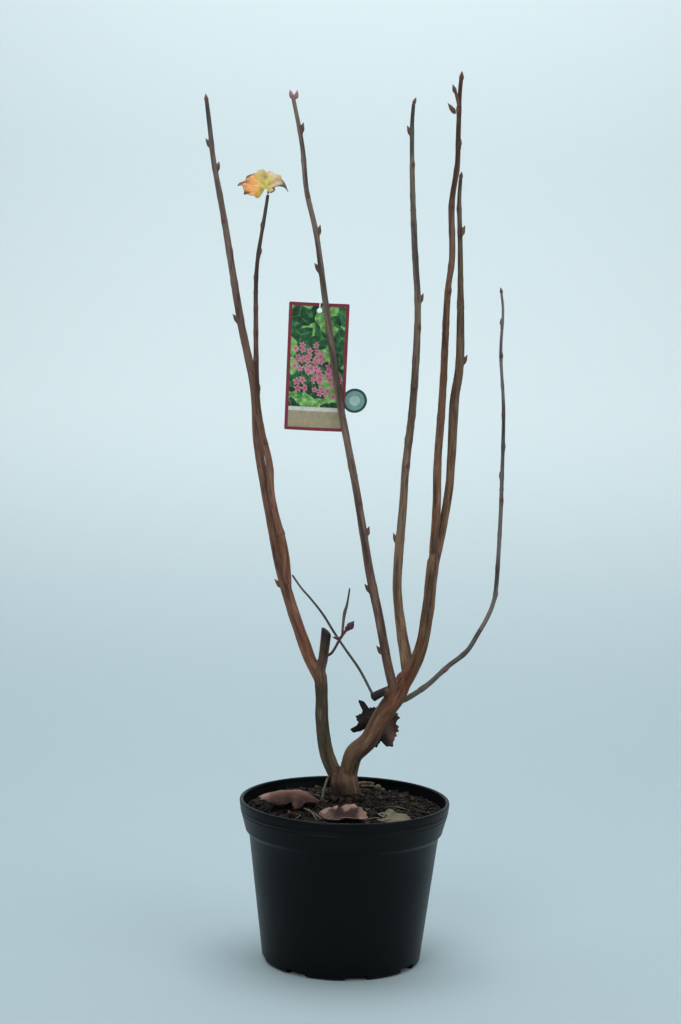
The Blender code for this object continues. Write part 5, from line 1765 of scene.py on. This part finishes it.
class CURRANT_OT_compost(CurrantOperator, bpy.types.Operator):
    """Compost with crumbs, bark chips, moss and thin dry stalks"""
    bl_idname = "currant.compost"
    bl_label = "Compost"

    def execute(self, context):
        look = settings("compost")
        finishes = [compost_material(*made) for made in (
            ("moist_peat", look.peat, 0.08), ("composted_bark", look.bark_chip, 0.12),
            ("wood_fibre", look.fibre, 0.05), ("moss_tufts", look.moss, 0.05),
            ("dry_stalks", look.straw, 0.10), ("leaf_scraps", look.scrap, 0.10),
            ("dry_curls", look.curl, 0.08))]
        finish_piece("compost_surface", self.bed(), [finishes[0]], ("soil",))
        dice = random.Random(SEED + 2)
        crumbs = Skin()
        for _ in range(look.big_crumbs):
            self.crumb(crumbs, dice, dice.uniform(0.0022, 0.0056), True)
        for centre, size, flat, slot in self.SEEN_BITS:
            lump(crumbs, Vector(centre), size, flat, dice, slot, True)
        finish_piece("compost_lumps", crumbs.mesh("compost_lumps"), finishes)
        fine = Skin()
        for _ in range(look.small_crumbs):
            self.crumb(fine, dice, dice.uniform(0.0008, 0.0022), False)
        finish_piece("compost_crumbs", fine.mesh("compost_crumbs"), finishes)
        finish_piece("dry_sticks", self.stalks(dice), finishes)
        return {"FINISHED"}

    # Chips and scraps that stand out in the view: centre, size, flatness, finish
    SEEN_BITS = (
        ((0.0345, 0.060, 0.1580), 0.0062, 0.80, 4),
        ((-0.0090, -0.010, 0.1610), 0.0080, 0.70, 1),
        ((-0.0020, -0.014, 0.1600), 0.0070, 0.80, 1),
        ((0.0060, -0.013, 0.1605), 0.0085, 0.65, 1),
        ((0.0130, -0.009, 0.1610), 0.0075, 0.75, 1),
        ((0.0180, -0.003, 0.1610), 0.0080, 0.70, 0),
        ((-0.0150, -0.004, 0.1600), 0.0070, 0.70, 0),
        ((0.0020, -0.020, 0.1580), 0.0065, 0.70, 1),
        ((0.0110, -0.018, 0.1580), 0.0060, 0.80, 0),
        ((0.0680, 0.020, 0.1555), 0.0060, 0.50, 5),
        ((-0.0520, -0.052, 0.1560), 0.0070, 0.50, 5),
        ((0.0560, 0.030, 0.1560), 0.0055, 0.60, 5),
    )

    # Sticks and curls that stand out in it: foot, tip, sag, radius, finish
    SEEN_STICKS = (
        ((-0.0223, 0.000, 0.1575), (-0.0160, 0.004, 0.1826), (-0.0012, 0.0, 0.0), 0.0015, 4),
        ((-0.0404, -0.030, 0.1572), (-0.0185, -0.072, 0.1540), (0.0, 0.0, 0.0015), 0.0009, 4),
        ((-0.0350, -0.036, 0.1575), (-0.0260, -0.070, 0.1545), (0.0, 0.0, 0.0010), 0.0007, 4),
        ((-0.0390, 0.000, 0.1580), (-0.0139, -0.054, 0.1565), (0.0, 0.0, 0.0022), 0.0010, 1),
        ((0.0120, 0.079, 0.1568), (0.0300, 0.074, 0.1590), (0.0, 0.0, 0.0014), 0.0021, 6),
        ((0.0170, 0.074, 0.1560), (0.0345, 0.068, 0.1570), (0.0, 0.0, 0.0010), 0.0014, 6),
    )

    def bed(self):
        """The uneven top of the compost, on a plain plug that fills the pot."""
        top = [(BED_REACH * ring / BED_RINGS, None) for ring in range(1, BED_RINGS + 1)]
        places = []
        for radius, height in (*top, *PLUG):
            for spoke in range(BED_SPOKES):
                x, y = polar(radius, TAU * spoke / BED_SPOKES)
                places.append(Vector((x, y, height or soil_surface(x, y))))
        faces = tube_faces(BED_RINGS + len(PLUG), BED_SPOKES)
        skin = Skin()
        skin.add(places, [tuple(reversed(face)) for face in faces], places)
        return skin.mesh("compost_surface")

    def crumb(self, skin, dice, size, fine):
        """Drops one crumb on the compost, clear of the stems' foot."""
        angle = dice.uniform(0.0, TAU)
        x, y = polar(CRUMB_REACH * math.sqrt(dice.random()), angle)
        if math.hypot(x - CROWN_PLACE[0], y - CROWN_PLACE[1]) < STEM_CLEAR:
            x += STEM_PUSH * math.cos(angle)
            y += STEM_PUSH * math.sin(angle)
        moss_here = noise.noise(Vector((x * 38, y * 38, 21.0))) > 0.18
        draw = dice.random()
        slot = sum(draw >= share for share in CRUMB_SHARES)
        if slot == 3 and not moss_here:
            slot = 0
        centre = Vector((x, y, soil_surface(x, y) + 0.22 * size))
        lump(skin, centre, size, dice.uniform(0.4, 0.8), dice, slot, fine)

    def stalks(self, dice):
        """Thin sticks strewn on the compost, and the few that stand out in the view."""
        skin = Skin()
        for _ in range(settings("compost").sticks):
            angle = dice.uniform(0.0, TAU)
            x, y = polar(STICK_REACH * math.sqrt(dice.random()), angle)
            heading = dice.uniform(0.0, TAU)
            length = dice.uniform(0.007, 0.022)
            foot = Vector((x, y, soil_surface(x, y) + 0.0012))
            far = Vector((x + length * math.cos(heading), y + length * math.sin(heading), 0.0))
            if far.xy.length > STICK_LIMIT:
                far.xy *= STICK_LIMIT / far.xy.length
            far.z = soil_surface(far.x, far.y) + dice.uniform(0.0008, 0.0035)
            sag = Vector((dice.uniform(-0.002, 0.002), dice.uniform(-0.002, 0.002), 0.0012))
            stick(skin, foot, far, sag, dice.uniform(0.00035, 0.00075), dice.choice((2, 2, 4, 1)))
        for foot, tip, sag, radius, slot in self.SEEN_STICKS:
            stick(skin, Vector(foot), Vector(tip), Vector(sag), radius, slot, sides=9, steps=20)
        return skin.mesh("dry_sticks")


class CURRANT_OT_stage(CurrantOperator, bpy.types.Operator):
    """Plain pale sweep, soft lights and the camera"""
    bl_idname = "currant.stage"
    bl_label = "Studio"

    def execute(self, context):
        look = settings("stage")
        self.sweep()
        for name, size, where, aim in LIGHTS:
            self.light(name + "_light", getattr(look, name + "_power"), size, where, aim)
        world = bpy.data.worlds.new("studio_air")
        world.use_nodes = True
        tree = world.node_tree
        air = tree.nodes["Background"].inputs
        air["Color"].default_value = (*look.paper, 1.0)
        back = add(tree, "SeparateXYZ", (add(tree, "TexCoord"),), 1)
        tree.links.new(add(tree, "MapRange", (back, -1.0, 1.0, look.ambient_front,
                                              look.ambient)), air["Strength"])
        context.scene.world = world
        context.scene.view_settings.view_transform = "Standard"
        self.camera(context.scene)
        return {"FINISHED"}

    def sweep(self):
        """Floor and backdrop in one sheet, joined by a wide curve."""
        depth, bend, height = 0.75, 0.9, 2.6
        profile = [(-2.6, 0.0), (depth, 0.0)]
        profile += [(depth + bend * math.sin(a), bend - bend * math.cos(a))
                    for a in (math.radians(5 * k) for k in range(1, 18))]
        profile += [(depth + bend, bend), (depth + bend, height)]
        mesh = bpy.data.meshes.new("sweep")
        places = [(side * 2.6, y, z) for y, z in profile for side in (-1, 1)]
        faces = [(2 * i, 2 * i + 1, 2 * i + 3, 2 * i + 2) for i in range(len(profile) - 1)]
        mesh.from_pydata(places, [], faces)
        mesh.shade_smooth()
        mesh.materials.append(paper_material())
        linked("sweep", mesh)

    def light(self, name, power, size, where, aim):
        """A square soft light that faces its aim."""
        data = bpy.data.lights.new(name, "AREA")
        data.energy = power
        data.size = size
        made = linked(name, data)
        made.location = where
        made.rotation_euler = (Vector(aim) - Vector(where)).to_track_quat("-Z", "Y").to_euler()

    def camera(self, scene):
        """The view that the plant was pictured from, rolled very slightly."""
        data = bpy.data.cameras.new("camera")
        data.lens = CAMERA_LENS
        data.clip_start = 0.05
        made = linked("camera", data)
        made.matrix_world = (Matrix.Translation(CAMERA_PLACE)
                             @ Matrix.Rotation(0.5 * math.pi - CAMERA_PITCH, 4, "X")
                             @ Matrix.Rotation(CAMERA_ROLL, 4, "Z"))
        scene.camera = made


OPERATORS = (CURRANT_OT_stage, CURRANT_OT_pot, CURRANT_OT_compost, CURRANT_OT_fork_wood,
             CURRANT_OT_canes, CURRANT_OT_twigs, CURRANT_OT_buds, CURRANT_OT_autumn_leaf,
             CURRANT_OT_withered_leaf, CURRANT_OT_fallen_leaves, CURRANT_OT_tag)


class CURRANT_PT_panel(bpy.types.Panel):
    """Lists the pieces of the plant"""
    bl_idname = "CURRANT_PT_panel"
    bl_label = "Potted Clove Currant"
    bl_space_type = "VIEW_3D"
    bl_region_type = "UI"
    bl_category = "Currant"

    def draw(self, context):
        for kind in OPERATORS:
            self.layout.operator(kind.bl_idname)


SETTINGS = {
    "currant_bark": CurrantBarkSettings,
    "currant_bud": CurrantBudSettings,
    "currant_leaf": CurrantLeafSettings,
    "currant_tag": CurrantTagSettings,
    "currant_pot": CurrantPotSettings,
    "currant_compost": CurrantCompostSettings,
    "currant_stage": CurrantStageSettings,
}


def register():
    for kind in (*SETTINGS.values(), *OPERATORS, CURRANT_PT_panel):
        bpy.utils.register_class(kind)
    for name, kind in SETTINGS.items():
        setattr(bpy.types.Scene, name, PointerProperty(type=kind))


def unregister():
    for name in SETTINGS:
        delattr(bpy.types.Scene, name)
    for kind in reversed((*SETTINGS.values(), *OPERATORS, CURRANT_PT_panel)):
        bpy.utils.unregister_class(kind)


def main():
    register()
    for kind in OPERATORS:
        group, name = kind.bl_idname.split(".")
        getattr(getattr(bpy.ops, group), name)()


if __name__ == "__main__":
    main()
